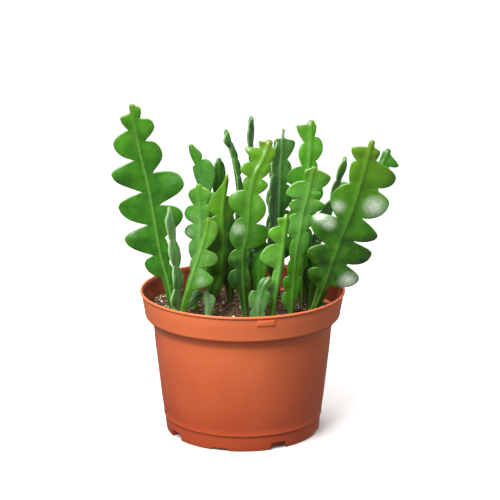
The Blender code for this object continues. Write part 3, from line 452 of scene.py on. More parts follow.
def blend(tree, share, first, second, **settings):
    """The colour between two, each a hex value or a socket, by a socket's share."""
    mix = add(tree, "ShaderNodeMix", {"Factor": share}, data_type="RGBA", **settings)
    for socket, colour in ((6, first), (7, second)):
        if isinstance(colour, str):
            mix.inputs[socket].default_value = linear(colour)
        else:
            tree.links.new(colour, mix.inputs[socket])
    return mix.outputs[2]


def span(tree, value, low, high, to_low=0.0, to_high=1.0):
    """A socket's value, spread from one range to another and held inside it."""
    ends = {"From Min": low, "From Max": high, "To Min": to_low, "To Max": to_high}
    return add(tree, "ShaderNodeMapRange", {"Value": value}, ends).outputs["Result"]


def grain(tree, place, size, detail=3.0, distortion=0.0):
    """Soft noise whose patches are about this size, in millimetres."""
    values = {"Scale": per_metre(size), "Detail": detail, "Distortion": distortion}
    return add(tree, "ShaderNodeTexNoise", {"Vector": place}, values).outputs["Fac"]


def bump(tree, height, depth, under=None):
    """Relief of this depth, in millimetres, over the relief under it."""
    links = {"Height": height}
    if under is not None:
        links["Normal"] = under
    return add(tree, "ShaderNodeBump", links, {"Strength": 1.0, "Distance": depth * MM}).outputs["Normal"]


def waxy_skin(name, dark, light, rib, rib_share, young, apex, rim):
    """Succulent stem skin: a green epidermis under a thin clear wax, which gives broad soft highlights.

    The green is mottled over some 9 mm and deepened by painted shade where a stem or its lower part stands in
    shade.
    The midrib and the thin rounded rim are paler, new growth goes yellow-green and the growing tip turns
    olive. Flecked whitish patches are partly thick wax and partly painted highlight and sheen, and fine pores
    break the gloss.
    fine pores break the gloss.
    """
    made, tree, shader, place = blank(name)
    marks = {
        mark: add(tree, "ShaderNodeAttribute", attribute_name=mark).outputs["Fac"]
        for mark in ("tone_and_shade", "rib", "rim", "young", "apex", "foot", "bloom_and_sheen")
    }
    # The tone mark holds each stem's own green together with its painted shade
    patches = span(tree, grain(tree, place, 9.0, 3.0, 0.4), 0.32, 0.68, -0.2, 0.2)
    tone_and_shade = add(tree, "ShaderNodeMath", {0: marks["tone_and_shade"], 1: patches}, operation="ADD", use_clamp=True)
    colour = blend(tree, tone_and_shade.outputs["Value"], dark, light)
    colour = blend(tree, span(tree, marks["young"], 0.0, 1.0, 0.0, 0.92), colour, young)
    colour = blend(tree, span(tree, marks["rib"], 0.0, 1.0, 0.0, rib_share), colour, rib)
    colour = blend(tree, span(tree, marks["apex"], 0.0, 1.0, 0.0, 0.6), colour, apex)
    colour = blend(tree, span(tree, marks["rim"], 0.2, 1.0, 0.0, 0.45), colour, rim)
    colour = blend(tree, span(tree, marks["foot"], 0.0, 1.0, 0.0, 0.45), colour, "#5E5A2E")
    # Flecked whitish patches: partly thick wax, partly painted highlight and sheen
    flecks = span(tree, grain(tree, place, 1.6, 3.0), 0.3, 0.65, 0.62, 1.0)
    bloom_and_sheen = add(tree, "ShaderNodeMath", {0: marks["bloom_and_sheen"], 1: flecks}, operation="MULTIPLY")
    colour = blend(tree, span(tree, bloom_and_sheen.outputs["Value"], 0.1, 0.75, 0.0, 0.85), colour, "#DCE8D4")
    tree.links.new(colour, shader.inputs["Base Color"])
    pores = grain(tree, place, 0.9, 2.0)
    tree.links.new(span(tree, pores, 0.3, 0.7, 0.34, 0.46), shader.inputs["Roughness"])
    relief = bump(tree, grain(tree, place, 5.0, 2.0), 0.45)
    tree.links.new(bump(tree, pores, 0.05, relief), shader.inputs["Normal"])
    shader.inputs["IOR"].default_value = 1.45
    shader.inputs["Coat Weight"].default_value = 0.5
    shader.inputs["Coat Roughness"].default_value = 0.2
    shader.inputs["Subsurface Weight"].default_value = 0.12
    shader.inputs["Subsurface Radius"].default_value = (0.8, 1.0, 0.3)
    shader.inputs["Subsurface Scale"].default_value = 1.5 * MM
    return made


def moulded_plastic():
    """Injection-moulded polypropylene in terracotta orange with a soft satin sheen. Its colour is painted
    lighter toward the collar and deeper toward the foot, as painted highlight and painted shade.

    The mould leaves a fine texture and slow ripples that only show in the highlights. The inner wall, which
    is where the surface faces the pot's middle, is painted brown: partly soil dust and partly painted shade.
    """
    made, tree, shader, place = blank("moulded_polypropylene")
    cloud = span(tree, grain(tree, place, 42.0, 2.0), 0.3, 0.7, -0.12, 0.12)
    height = add(tree, "ShaderNodeSeparateXYZ", {"Vector": place}).outputs["Z"]
    # Painted highlight and shade: lighter toward the collar and deeper toward the foot
    painted_light_by_height = span(tree, height, FOOT_RIDGE[-1][1] * MM, LIP[0][1] * MM)
    share = add(tree, "ShaderNodeMath", {0: painted_light_by_height, 1: cloud}, operation="ADD", use_clamp=True)
    colour = blend(tree, share.outputs["Value"], "#C7532E", "#F07D4C")
    normal = add(tree, "ShaderNodeTexCoord").outputs["Normal"]
    # The inner wall is painted brown: partly soil dust and partly painted shade
    outward = add(tree, "ShaderNodeVectorMath", {0: normal, 1: place}, operation="DOT_PRODUCT")
    inside = span(tree, outward.outputs["Value"], 0.0, -20.0 * MM)
    dust = span(tree, grain(tree, place, 5.0, 4.0), 0.3, 0.7, 0.75, 1.0)
    dust_and_shade = add(tree, "ShaderNodeMath", {0: inside, 1: dust}, operation="MULTIPLY")
    colour = blend(tree, dust_and_shade.outputs["Value"], colour, "#86391F")
    tree.links.new(colour, shader.inputs["Base Color"])
    texture = grain(tree, place, 0.7, 2.0)
    tree.links.new(span(tree, grain(tree, place, 6.0, 4.0), 0.3, 0.7, 0.40, 0.48), shader.inputs["Roughness"])
    ripple = bump(tree, grain(tree, place, 26.0, 1.0), 0.25)
    tree.links.new(bump(tree, texture, 0.012, ripple), shader.inputs["Normal"])
    shader.inputs["IOR"].default_value = 1.49
    return made


def crumbly(name, dark, light, size, roughness):
    """A dry, matt granular stuff, mottled over patches of this size, whose pits darken it."""
    made, tree, shader, place = blank(name)
    patches = grain(tree, place, size, 5.0, 0.6)
    tree.links.new(blend(tree, span(tree, patches, 0.35, 0.65), dark, light), shader.inputs["Base Color"])
    tree.links.new(bump(tree, grain(tree, place, size * 0.3, 3.0), size * 0.12), shader.inputs["Normal"])
    shader.inputs["Roughness"].default_value = roughness
    shader.inputs["IOR"].default_value = 1.45
    return made


def matt_paper():
    """A plain matt paper sweep, a little off white."""
    made, tree, shader, place = blank("matt_paper")
    shade = span(tree, grain(tree, place, 300.0, 2.0), 0.3, 0.7)
    tree.links.new(blend(tree, shade, "#F6F6F5", "#FAFAF9"), shader.inputs["Base Color"])
    shader.inputs["Roughness"].default_value = 0.85
    return made


def settle(piece, slot, *nodes):
    """Moves a piece from the pot's middle to its place and hides the nodes it stands for. The slot is not
    used.
    """
    piece.location.x = -ORIGIN_TO_RIGHT * MM
    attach(piece, BODY)
    if nodes:
        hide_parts(*nodes)


def add_piece(name, points, faces, finish, slot, nodes=(), marks=None):
    """A smooth piece of the plant from points in millimetres, with float marks on its points."""
    mesh = bpy.data.meshes.new(name)
    faces = faces.tolist() if isinstance(faces, np.ndarray) else faces
    mesh.from_pydata((np.asarray(points) * MM).tolist(), [], faces)
    for mark, values in (marks or {}).items():
        layer = mesh.attributes.new(mark, "FLOAT", "POINT")
        layer.data.foreach_set("value", np.asarray(values, np.float32))
    mesh.materials.append(finish)
    mesh.shade_smooth()
    piece = bpy.data.objects.new(name, mesh)
    bpy.context.scene.collection.objects.link(piece)
    settle(piece, slot, *nodes)
    return piece


def polar(radius, turn):
    """The point at this radius, turned to the right from the pot's front."""
    return radius * math.sin(math.radians(turn)), -radius * math.cos(math.radians(turn))


def turned(profile, sides):
    """Points and faces turned round Z from a profile of (radius, height) that starts and ends on the axis."""
    points, rings = [], []
    for radius, height in profile:
        count = sides if radius > 0 else 1
        rings.append(range(len(points), len(points) + count))
        points += [(*polar(radius, 360 * k / sides), height) for k in range(count)]
    faces = []
    for low, high in zip(rings, rings[1:]):
        for k in range(sides):
            below = [low[k % len(low)], low[(k + 1) % len(low)]]
            above = [high[(k + 1) % len(high)], high[k % len(high)]]
            faces.append(list(dict.fromkeys(below + above)))
    return points, faces


def solid(name, points, faces):
    """A closed helper solid, with its faces turned outward."""
    shape = bmesh.new()
    corners = [shape.verts.new(np.array(point) * MM) for point in points]
    for face in faces:
        shape.faces.new([corners[k] for k in face])
    bmesh.ops.recalc_face_normals(shape, faces=shape.faces)
    mesh = bpy.data.meshes.new(name)
    shape.to_mesh(mesh)
    shape.free()
    made = bpy.data.objects.new(name, mesh)
    bpy.context.scene.collection.objects.link(made)
    return made


def prism(name, outline, low, high):
    """A closed helper: this outline of (x, z) points, drawn out along y from low to high."""
    count = len(outline)
    points = [(x, low, z) for x, z in outline] + [(x, high, z) for x, z in outline]
    faces = [[k, (k + 1) % count, (k + 1) % count + count, k + count] for k in range(count)]
    return solid(name, points, faces + [list(range(count)), list(range(count, 2 * count))])


def apply_boolean(target, tools, operation):
    """Cuts the tools from the target, or joins them to it, and removes them."""
    group = bpy.data.collections.new(target.name + "_tools")
    for tool in tools:
        group.objects.link(tool)
        bpy.context.scene.collection.objects.unlink(tool)
    bpy.context.scene.collection.children.link(group)
    step = target.modifiers.new(operation.lower(), "BOOLEAN")
    step.operation = operation
    step.solver = "EXACT"
    step.operand_type = "COLLECTION"
    step.collection = group
    graph = bpy.context.evaluated_depsgraph_get()
    result = bpy.data.meshes.new_from_object(target.evaluated_get(graph))
    target.modifiers.clear()
    target.data = result
    for tool in list(group.objects):
        bpy.data.objects.remove(tool)
    bpy.data.collections.remove(group)


def outer_wall():
    """The pot's outside from under the lip down to the foot ridge."""
    return COLLAR + BODY_WALL


def inner_wall():
    """The pot's inner wall from under the lip down to the floor: the outer wall, one thickness inside it."""
    wall = np.array(outer_wall())
    slope = np.gradient(wall, axis=0)
    slope /= np.linalg.norm(slope, axis=1)[:, None]
    inside = wall + WALL * np.stack([slope[:, 1], -slope[:, 0]], 1)
    return [(radius, height) for radius, height in inside[:-1]] + [(FLOOR_EDGE, FLOOR_TOP)]


def notch_tool(name, height, turn):
    """A cutter for one notch in the foot ring, with round upper corners."""
    half, corner = NOTCH_WIDTH / 2, min(NOTCH_CORNER, height / 2)
    outline = [(-half, -CUT_PAST), (half, -CUT_PAST)]
    quarter = np.linspace(0, 90, 7)
    for side, angles in ((1, quarter), (-1, quarter[::-1])):
        for angle in angles:
            x = half - corner + corner * math.cos(math.radians(angle))
            z = height - corner + corner * math.sin(math.radians(angle))
            outline.append((side * x, z))
    outer, inner = FOOT_RIDGE[0][0] + CUT_PAST, FOOT[-1][0] - FOOT_WIDTH - CUT_PAST
    tool = prism(name, outline, -outer, -inner)
    tool.rotation_euler.z = math.radians(turn)
    return tool


def drain_tool(name, turn):
    """A cutter for one drain hole in the floor."""
    low, high = FLOOR_UNDER - CUT_PAST, FLOOR_TOP + FLOOR_RISE + CUT_PAST
    points, faces = turned([(0, low), (DRAIN_RADIUS, low), (DRAIN_RADIUS, high), (0, high)], 32)
    tool = solid(name, points, faces)
    tool.location = (*(value * MM for value in polar(DRAIN_CIRCLE, turn)), 0)
    return tool


def tab_block():
    """The plain raised tab on the collar, just under the lip, with softened edges."""
    wall = np.array(outer_wall()[::-1])
    low, high = (np.interp(z, wall[:, 1], wall[:, 0]) for z in (TAB_LOW, TAB_HIGH))
    front = [(low + TAB_PROUD, TAB_LOW), (high + TAB_PROUD, TAB_HIGH)]
    behind = [(high - TAB_SUNK, TAB_HIGH), (low - TAB_SUNK, TAB_LOW)]
    points = [(side * TAB_WIDTH / 2, -radius, z) for side in (-1, 1) for radius, z in front + behind]
    sides = [[k, (k + 1) % 4, (k + 1) % 4 + 4, k + 4] for k in range(4)]
    block = solid("tab", points, sides + [[0, 1, 2, 3], [4, 5, 6, 7]])
    soften = block.modifiers.new("soften", "BEVEL")
    soften.width = 0.35 * MM
    soften.segments = 3
    block.rotation_euler.z = math.radians(TAB_TURN)
    return block


def make_pot():
    """The pot: a rolled lip over a deep collar, a tapered wall, and a foot ring with its notches."""
    foot_inside = FOOT[-1][0] - FOOT_WIDTH
    under = [(0, FLOOR_UNDER + FLOOR_RISE), (FLOOR_FLAT_FROM, FLOOR_UNDER), (foot_inside, FLOOR_UNDER)]
    outside = [(foot_inside, 0.0)] + (outer_wall() + FOOT_RIDGE + FOOT)[::-1]
    floor = [(FLOOR_FLAT_FROM, FLOOR_TOP), (0, FLOOR_TOP + FLOOR_RISE)]
    points, faces = turned(under + outside + LIP[::-1] + inner_wall() + floor, POT_SIDES)
    shell = solid("pot_shell", points, faces)
    apply_boolean(shell, [tab_block()], "UNION")
    tools = [drain_tool(f"drain_{k}", 360 * k / DRAINS) for k in range(DRAINS)]
    for height, turns in ((DEEP_NOTCH, DEEP_NOTCHES), (SHALLOW_NOTCH, SHALLOW_NOTCHES)):
        tools += [notch_tool(f"notch_{turn:.0f}", height, turn) for turn in turns]
    apply_boolean(shell, tools, "DIFFERENCE")
    shell.name = "moulded_pot"
    shell.data.materials.append(moulded_plastic())
    shell.data.shade_smooth()
    shell.data.set_sharp_from_angle(angle=math.radians(34))
    settle(shell, "pot_plastic", "pot")


def smooth_line(points):
    """A smooth curve through the points, as many short steps."""
    points = np.array(points, float)
    points = np.vstack([2 * points[0] - points[1], points, 2 * points[-1] - points[-2]])
    t = np.arange(SPAN_STEPS)[:, None] / SPAN_STEPS
    spans = []
    for a, b, c, d in zip(points, points[1:], points[2:], points[3:]):
        square, cube = 2 * a - 5 * b + 4 * c - d, 3 * b - a - 3 * c + d
        spans.append(0.5 * (2 * b + (c - a) * t + square * t**2 + cube * t**3))
    return np.vstack(spans + [points[-2:-1]])


class Stem:
    """One flat stem: a blade that is bent along its rib, with a wing of lobes on each side."""

    def __init__(self, name, form):
        self.name = name
        self.form = {**DEFAULTS, **form}
        self.line = smooth_line(self.form["rib"])
        steps = np.linalg.norm(np.diff(self.line, axis=0), axis=1)
        self.along = np.concatenate([[0], np.cumsum(steps)])
        self.up = np.gradient(self.line, self.along, axis=0)
        self.up /= np.linalg.norm(self.up, axis=1)[:, None]
        self.top = self.along[-1]

    def read(self, values, s):
        """Rows of values at the places s along the rib."""
        return np.stack([np.interp(s, self.along, column) for column in values.T], -1)

    def frames(self, s):
        """The rib's points at s, with the directions to the blade's right and to its front."""
        inside = np.clip(s, 0, self.top)
        up = self.read(self.up, inside)
        up /= np.linalg.norm(up, axis=-1)[..., None]
        centre = self.read(self.line, inside) + up * (s - inside)[..., None]
        facing = self.form["facing"]
        turn = np.radians(np.interp(inside, np.linspace(0, self.top, len(facing)), facing))
        ahead = np.stack([np.sin(turn), -np.cos(turn), 0 * turn], -1)
        side = np.cross(up, ahead)
        side /= np.linalg.norm(side, axis=-1)[..., None]
        return centre, side, np.cross(side, up)

    def sheet(self, s, v):
        """Points of the blade's middle sheet, and its normals, at s along the rib and v out from it."""
        centre, side, front = self.frames(s)
        left = v < 0
        sign = np.where(left, -1.0, 1.0)[..., None]
        grown = np.clip((s - FOLD_FROM) / FOLD_OVER, 0, 1)
        fold = (np.radians(np.where(left, *self.form["fold"])) * grown)[..., None]
        start = np.where(left, LEFT_WAVE_START, RIGHT_WAVE_START)
        wave = self.form["wave"] * np.sin(s / WAVE_STEP + start)
        bend = np.radians(np.where(left, *self.form["curl"]) + wave) / CURL_WIDTH * grown
        bend = np.where(np.abs(bend) < LEAST_BEND, LEAST_BEND, bend)[..., None]
        out = np.abs(v)[..., None]
        way = sign * side * np.cos(fold) + front * np.sin(fold)
        face = front * np.cos(fold) - sign * side * np.sin(fold)
        point = centre + way * np.sin(bend * out) / bend + face * (1 - np.cos(bend * out)) / bend
        normal = face * np.cos(bend * out) - way * np.sin(bend * out)
        soft = np.clip(out / RIB_SPREAD, 0, 1)
        normal = normal * soft + front * (1 - soft)
        return point, normal / np.linalg.norm(normal, axis=-1)[..., None]

    def lobes(self, left):
        """One side's lobes as (start, tip, reach, end, flank, brow, half width below, half width above)."""
        form = self.form
        lobes = form["left" if left else "right"]
        shape = form["shape"][:2] if left else form["shape"][2:]
        crown = self.top - form["crown"][0 if left else 1]
        starts = [lobe[0] for lobe in lobes] + [crown]
        halves = [min(form["sinus"], LOWEST_SINUS)] + [form["sinus"]] * (len(lobes) - 1) + [form["tip"]]
        rows = []
        for k, (start, tip, reach, *own) in enumerate(lobes):
            low, high = (min(half, reach * SINUS_SHARE) for half in halves[k : k + 2])
            rows.append((start, tip, reach, starts[k + 1], *(own or shape), low, high))
        return rows

    def edge(self, place, left):
        """The edge that belongs to each place on the rib, as s along the rib and v out from it."""
        lobes, tip_half = self.lobes(left), self.form["tip"]
        first, last = lobes[0], lobes[-1]
        bare = [(-PEG, NECK), (NECK_TOP, NECK), (first[0], first[6]), (last[3], tip_half)]
        bare.append((self.top, tip_half))
        s, v = place.copy(), np.interp(place, *np.array(bare).T)
        for start, tip, reach, end, flank, brow, low, high in lobes:
            share = (place - start) / (end - start)
            here = (share >= 0) & (share < 1)
            below = share[here] < 0.5
            turn = math.pi * np.where(below, share[here], 1 - share[here])
            slope = (2 / np.where(below, flank, brow)) ** SLOPE_POWER
            back, out = np.abs(np.cos(turn)), np.sin(turn) ** slope
            half = np.where(below, low, high)
            s[here] = tip + (np.where(below, start, end) - tip) * back
            v[here] = half + (reach - half) * out
        for _ in range(2):
            s[1:-1] = (s[:-2] + 2 * s[1:-1] + s[2:]) / 4
            v[1:-1] = (v[:-2] + 2 * v[1:-1] + v[2:]) / 4
        cap = np.clip((place - (self.top - tip_half)) / tip_half, 0, 0.995)
        return s, v * np.sqrt(1 - cap**2)

    def bulge(self, s, v):
        """How far each lobe swells, leans and twists forward out of the blade's middle sheet."""
        swell = np.zeros(s.shape)
        draw = np.random.default_rng(list(self.name.encode()))
        for left in (True, False):
            for start, tip, reach, end, *_ in self.lobes(left):
                middle = tip - LOBE_SAG * (end - start)
                along = (s - middle) / (LOBE_WIDTH * (end - start))
                out = (np.abs(v) - LOBE_OUT * reach) / (LOBE_WIDTH * reach)
                share = np.clip(np.abs(v) / reach, 0, 1) ** 2
                lean, twist = draw.uniform(-1, 1, 2) * (LOBE_LEAN * reach, LOBE_TWIST * (end - start))
                rise = LOBE_SWELL * reach * np.exp(-(along**2) - out**2)
                rise += share * (lean + twist * LOBE_WIDTH * along) * np.exp(-(along**2) / 2)
                swell += np.where((v < 0) == left, rise, 0.0)
        return swell


def columns(length):
    """Distances out from the rib in a blade of this half width: close at the rib's ridge and at the rim."""
    length = length[:, None]
    inner = np.minimum(np.array(INNER_COLUMNS), length * INNER_SHARES)
    outer = length - np.minimum(np.array(OUTER_COLUMNS), length * OUTER_SHARES)
    share = np.linspace(0, 1, MIDDLE_COLUMNS + 2)[1:-1]
    middle = inner[:, -1:] + (outer[:, :1] - inner[:, -1:]) * share
    return np.hstack([inner, middle, outer])


def blade_grid(stem):
    """The blade's rows from foot to tip, each from left to right: s, v, half thickness and marks."""
    place = np.arange(-PEG, stem.top, STATION)
    halves = []
    for left in (True, False):
        edge_s, edge_v = stem.edge(place, left)
        reach = np.hypot(edge_s - place, edge_v)
        out = columns(reach)
        share = out / reach[:, None]
        s = place[:, None] + (edge_s - place)[:, None] * share
        v = edge_v[:, None] * share * (-1 if left else 1)
        to_rim = reach[:, None] - out
        ridge = (RIB_HALF - MIDDLE_HALF) * np.exp(-((out / RIB_SPREAD) ** 2))
        thick = MIDDLE_HALF + (EDGE_HALF - MIDDLE_HALF) * share + ridge
        curve = np.minimum(RIM_ROUND, reach * OUTER_SHARES[0])[:, None]
        thick *= np.sqrt(np.clip(1 - (1 - np.minimum(to_rim / curve, 1)) ** 2, 0, 1))
        round_section = RIB_HALF * np.sqrt(np.clip(1 - share**2, 0, 1))
        rounder = np.clip(1 - place / ROUND_FOOT, 0, 1)[:, None]
        thick = thick * (1 - rounder) + round_section * rounder
        near_tip = np.clip((s - (stem.top - TIP_ROUND)) / TIP_ROUND, 0, 0.98)
        thick *= np.sqrt(1 - near_tip**2)
        marks = {
            "rib": np.exp(-((out / PALE_RIB) ** 2)) * np.clip((stem.top - s) / RIB_FADE, 0, 1),
            "rim": np.exp(-to_rim / PALE_RIM),
        }
        halves.append((s, v, thick, marks))
    (s, v, thick, marks), right = halves
    flip = slice(None, 0, -1)
    s, v, thick = (np.hstack([a[:, flip], b]) for a, b in zip((s, v, thick), right[:3]))
    marks = {mark: np.hstack([marks[mark][:, flip], right[3][mark]]) for mark in marks}
    return s, v, thick, marks


def make_stem(stem, finishes):
    """One stem's skin: a front and a back sheet that meet round the rim."""
    slot, young, tone_and_shade, painted_shade = LOOKS[stem.name]
    s, v, thick, marks = blade_grid(stem)
    middle, normal = stem.sheet(s, v)
    middle = middle + normal * stem.bulge(s, v)[..., None]
    front, back = middle + normal * thick[..., None], middle - normal * thick[..., None]
    rows, width = s.shape
    index = np.arange(rows * width).reshape(rows, width)
    quads = np.stack([index[:-1, :-1], index[:-1, 1:], index[1:, 1:], index[1:, :-1]], -1).reshape(-1, 4)
    ring = np.concatenate([index[0], index[1:, -1], index[-1, -2::-1], index[-2:0:-1, 0]])
    after, count = np.roll(ring, -1), rows * width
    band = np.stack([ring, ring + count, after + count, after], -1)
    faces = np.vstack([quads, quads[:, ::-1] + count, band])
    fresh = np.clip((s - (stem.top - YOUNG_LENGTH)) / YOUNG_LENGTH, 0, 1)
    marks["young"] = young * fresh**1.3
    marks["apex"] = min(1.0, young + 0.2) * np.clip((s - (stem.top - APEX_LENGTH)) / APEX_LENGTH, 0, 1) ** 2
    marks["foot"] = np.clip(1 - s / FOOT_LENGTH, 0, 1)
    # Whitish patches: partly thick wax, partly painted highlight and sheen
    marks["bloom_and_sheen"] = np.zeros(s.shape)
    for along, out, radius, strength in BLOOM_AND_SHEEN.get(stem.name, ()):
        patch = strength * np.exp(-((s - along) ** 2 + (v - out) ** 2) / radius**2)
        marks["bloom_and_sheen"] = np.maximum(marks["bloom_and_sheen"], patch)
    # Tone from dark to light, less painted shade that deepens toward the stem's foot
    marks["tone_and_shade"] = tone_and_shade - painted_shade * np.clip(1 - s / SHADE_LENGTH, 0, 1)
    points = np.vstack([front.reshape(-1, 3), back.reshape(-1, 3)])
    both = {mark: np.tile(values.ravel(), 2) for mark, values in marks.items()}
    add_piece(stem.name + "_skin", points, faces, finishes[slot], slot, [stem.name], both)


def soil_height(x, y):
    """The soil's uneven top, which lies a little higher at the left and the front."""
    slope = SOIL_SLOPE[0] * x + SOIL_SLOPE[1] * y
    rise, along, across = BROAD_LUMPS
    broad = rise * math.sin(x / along) * math.cos(y / across)
    rise, along, across = NARROW_LUMPS
    narrow = rise * math.sin(x / along + y / across)
    return SOIL_LEVEL + slope + broad + narrow


def soil_top(x, y, feet):
    """The height of the soil's crumbly top, which is heaped up a little round each stem's foot."""
    height = soil_height(x, y)
    for rise, size in SOIL_ROUGHNESS:
        height += rise * noise.noise(Vector((x / size, y / size, size)))
    apart = min(math.hypot(x - foot[0], y - foot[1]) for foot in feet)
    return height + MOUND_HEIGHT * math.exp(-((apart / MOUND_WIDTH) ** 2))


def soil_room(height):
    """The soil's largest radius at this height, just clear of the pot's inner wall."""
    wall = np.array(inner_wall()[::-1])
    return float(np.interp(height, wall[:, 1], wall[:, 0])) - SOIL_GAP


def make_soil(feet):
    """The potting mix: it fills the pot, with a crumbly top."""
    wall = [(radius - SOIL_GAP, height) for radius, height in inner_wall()[::-1]]
    top = SOIL_LEVEL - SOIL_SIDE_BELOW
    side = [(wall[0][0], FLOOR_TOP + SOIL_GAP)] + [point for point in wall[1:] if point[1] < top]
    bottom = [(0, FLOOR_TOP + FLOOR_RISE + SOIL_GAP), (FLOOR_FLAT_FROM, FLOOR_TOP + SOIL_GAP)]
    brim = soil_room(SOIL_LEVEL)
    rings = [(brim * (1 - k / SOIL_RINGS), SOIL_LEVEL) for k in range(SOIL_RINGS + 1)]
    points, faces = turned(bottom + side + rings, SOIL_SIDES)
    first = len(points) - SOIL_RINGS * SOIL_SIDES - 1
    for k in range(first, len(points)):
        x, y, _ = points[k]
        height = soil_top(x, y, feet)
        pull = min(1.0, soil_room(height) / max(math.hypot(x, y), 1.0))
        points[k] = (x * pull, y * pull, height)
    mix = crumbly("peat_potting_mix", "#1E120A", "#5C4230", 3.2, 0.95)
    add_piece("potting_mix", points, faces, mix, "soil", ["soil"])


def pebble(draw, fineness, roughness):
    """A lumpy unit grain as (points, triangles)."""
    shape = bmesh.new()
    bmesh.ops.create_icosphere(shape, subdivisions=fineness, radius=1.0)
    shift = Vector(draw.uniform(-50, 50, 3))
    points = [corner.co * (1 + roughness * noise.noise(corner.co * 1.4 + shift)) for corner in shape.verts]
    faces = [[corner.index for corner in face.verts] for face in shape.faces]
    shape.free()
    return np.array(points), np.array(faces)


def random_turn(draw):
    """A rotation matrix that points any way."""
    matrix, _ = np.linalg.qr(draw.normal(size=(3, 3)))
    return matrix * np.sign(np.linalg.det(matrix))


def scatter(name, finish, feet, count, sizes, shape, fineness=2, roughness=0.7, sunk=0.35, where=None):
    """Grains on the soil: sizes is their smallest and largest half length, shape their proportions."""
    draw = np.random.default_rng(SEED + len(name))
    kinds = [pebble(draw, fineness, roughness) for _ in range(6)]
    points, faces, total = [], [], 0
    while len(points) < count:
        reach, turn = 71.0 * math.sqrt(draw.random()), draw.uniform(0, 360)
        x, y = polar(reach, turn)
        if where is not None and draw.random() > where(x, y):
            continue
        size = sizes[0] * (sizes[1] / sizes[0]) ** (draw.random() ** 1.5)
        height = soil_top(x, y, feet)
        if reach > soil_room(height) - size * 1.2:
            continue
        grain_points, grain_faces = kinds[int(draw.integers(len(kinds)))]
        placed = (grain_points * shape * size) @ random_turn(draw).T
        if max(shape) > 1.2 * min(shape):
            placed[:, 2] *= 0.6
        placed += (x, y, height + size * (0.6 - sunk) * min(shape))
        points.append(placed)
        faces.append(grain_faces + total)
        total += len(grain_points)
    add_piece(name, np.vstack(points), np.vstack(faces), finish, "soil")


def strands(name, finish, feet, count):
    """Thin coir fibres that lie across the soil, each a short bent tube."""
    draw = np.random.default_rng(SEED + 5)
    sides, steps = 5, 9
    points, faces = [], []
    for _ in range(count):
        reach, turn = 66.0 * math.sqrt(draw.random()), draw.uniform(0, 360)
        x, y = polar(reach, turn)
        way, curl = draw.uniform(0, 2 * math.pi), draw.normal(0, 0.16)
        length, radius = draw.uniform(5, 14), draw.uniform(0.12, 0.24)
        rings = []
        for k in range(steps):
            height = soil_top(x, y, feet) + radius + 0.5 * math.sin(math.pi * k / (steps - 1))
            across = np.array([-math.sin(way), math.cos(way), 0.0])
            thin = radius * (1.0 if 0 < k < steps - 1 else 0.35)
            turns = np.arange(sides) * 2 * math.pi / sides
            ring = np.outer(np.cos(turns), across) + np.outer(np.sin(turns), (0.0, 0.0, 1.0))
            rings.append(np.array([x, y, height]) + thin * ring)
            x, y = x + math.cos(way) * length / steps, y + math.sin(way) * length / steps
            way += curl
        if math.hypot(x, y) > FIBRE_REACH:
            continue
        start = len(points) * sides * steps
        for k in range(steps - 1):
            for j in range(sides):
                a, b = start + k * sides + j, start + k * sides + (j + 1) % sides
                faces.append([a, b, b + sides, a + sides])
        points.append(np.vstack(rings))
    tubes = np.vstack(points)
    firsts = range(0, len(tubes), sides * steps)
    ends = [[first + j for j in range(sides)] for first in firsts]
    ends += [[first + sides * steps - 1 - j for j in range(sides)] for first in firsts]
    add_piece(name, tubes, faces + ends, finish, "soil")


def pale_places(x, y):
    """How likely pale grains are at this place: they lie thickest at the soil's left."""
    heaps = [math.hypot(x - middle[0], y - middle[1]) / middle[2] for middle in PALE_HEAPS]
    return min(1.0, 0.1 + sum(math.exp(-(apart**2)) for apart in heaps))


def dress_soil(feet):
    """What lies on the potting mix: peat crumbs, bark chips, pale bits and coir fibres."""
    peat = crumbly("peat_crumbs", "#1E120A", "#86664A", 2.6, 0.95)
    bark = crumbly("bark_chips", "#3A2012", "#7A4A2C", 2.5, 0.85)
    pale = crumbly("perlite_grains", "#E9E2D0", "#FBF7EC", 1.5, 0.8)
    gold = crumbly("vermiculite_flakes", "#A8864C", "#E2C98C", 1.5, 0.6)
    coir = crumbly("coir_fibres", "#6A4A2C", "#A98457", 2.0, 0.85)
    scatter("soil_crumbs", peat, feet, 1500, (0.5, 2.1), (1.0, 0.85, 0.8))
    scatter("soil_bark", bark, feet, 110, (1.4, 3.6), (1.0, 0.55, 0.3), roughness=0.35)
    scatter("soil_perlite", pale, feet, 90, (0.45, 1.1), (1.0, 0.9, 0.85), where=pale_places)
    scatter("soil_gold_bits", gold, feet, 420, (0.45, 1.4), (1.0, 0.7, 0.4), where=pale_places)
    strands("soil_fibres", coir, feet, 150)


def add_light(name, kind, turn, height, energy, distance=0.0):
    """A light that faces the plant's middle from this turn, height and distance."""
    light = bpy.data.lights.new(name, kind)
    light.energy = energy
    lamp = bpy.data.objects.new(name, light)
    lamp.rotation_euler = (math.radians(90 - height), 0, math.radians(turn))
    x, y = polar(distance * math.cos(math.radians(height)), turn)
    lamp.location = (x * MM, y * MM, (LIT_HEIGHT + distance * math.sin(math.radians(height))) * MM)
    bpy.context.scene.collection.objects.link(lamp)
    return light


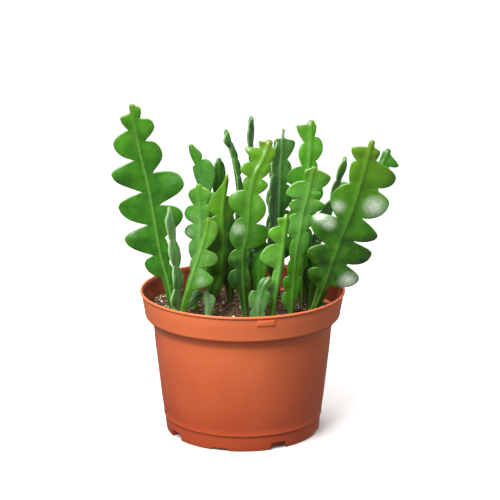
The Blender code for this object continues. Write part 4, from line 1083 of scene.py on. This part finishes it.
def make_stage():
    """The pale floor, the soft lights and the camera at the photograph's angle."""
    half = FLOOR_SIZE / 2 * MM
    mesh = bpy.data.meshes.new("floor")
    corners = [(-half, -half, 0), (half, -half, 0), (half, half, 0), (-half, half, 0)]
    mesh.from_pydata(corners, [], [(0, 1, 2, 3)])
    mesh.materials.append(matt_paper())
    floor = bpy.data.objects.new("floor", mesh)
    bpy.context.scene.collection.objects.link(floor)
    floor.visible_diffuse = False
    floor.visible_glossy = False
    for name, (turn, height, width, strength) in FAR_LIGHTS.items():
        add_light(name, "SUN", turn, height, strength).angle = math.radians(width)
    turn, height, distance, width, strength = SOFT_BOX
    power = strength * math.pi * (distance * MM) ** 2
    box = add_light("soft_box", "AREA", turn, height, power, distance)
    box.shape = "DISK"
    box.size = width * MM
    sky = bpy.data.worlds.new("soft_sky")
    sky.use_nodes = True
    sky.node_tree.nodes["Background"].inputs["Color"].default_value = linear("#FFFFFF")
    sky.node_tree.nodes["Background"].inputs["Strength"].default_value = SKY_STRENGTH
    bpy.context.scene.world = sky
    lens = bpy.data.cameras.new("camera")
    lens.lens = FOCAL_LENGTH
    camera = bpy.data.objects.new("camera", lens)
    camera.location = (Vector(CAMERA_PLACE) - Vector((ORIGIN_TO_RIGHT, 0, 0))) * MM
    camera.rotation_euler = (math.radians(90 - CAMERA_DOWN), 0, 0)
    bpy.context.scene.collection.objects.link(camera)
    bpy.context.scene.camera = camera
    bpy.context.scene.view_settings.view_transform = "Standard"


def main():
    """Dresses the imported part: the stage, the pot, the soil and every stem."""
    make_stage()
    make_pot()
    stems = [Stem(name, form) for name, form in STEMS.items()]
    feet = [stem.line[0][:2] for stem in stems]
    make_soil(feet)
    dress_soil(feet)
    finishes = {
        "skin_bright": waxy_skin("waxy_skin_bright", "#153F05", "#58A418", "#86BC50", 0.2,
            "#6C9E18", "#86802A", "#90BE5A"),
        "skin_young": waxy_skin("waxy_skin_young", "#1D5606", "#52A41C", "#8CC45E", 0.5,
            "#5E9E1A", "#7C7A2C", "#90BE5A"),
        "skin_grey_green": waxy_skin("waxy_skin_grey_green", "#215216", "#5E9E3E", "#88BA70", 0.35,
            "#74A444", "#6E703A", "#98C080"),
        "skin_deep": waxy_skin("waxy_skin_deep", "#183F05", "#408A1C", "#68A442", 0.35,
            "#569024", "#5A5A20", "#70A448"),
    }
    for stem in stems:
        make_stem(stem, finishes)


main()
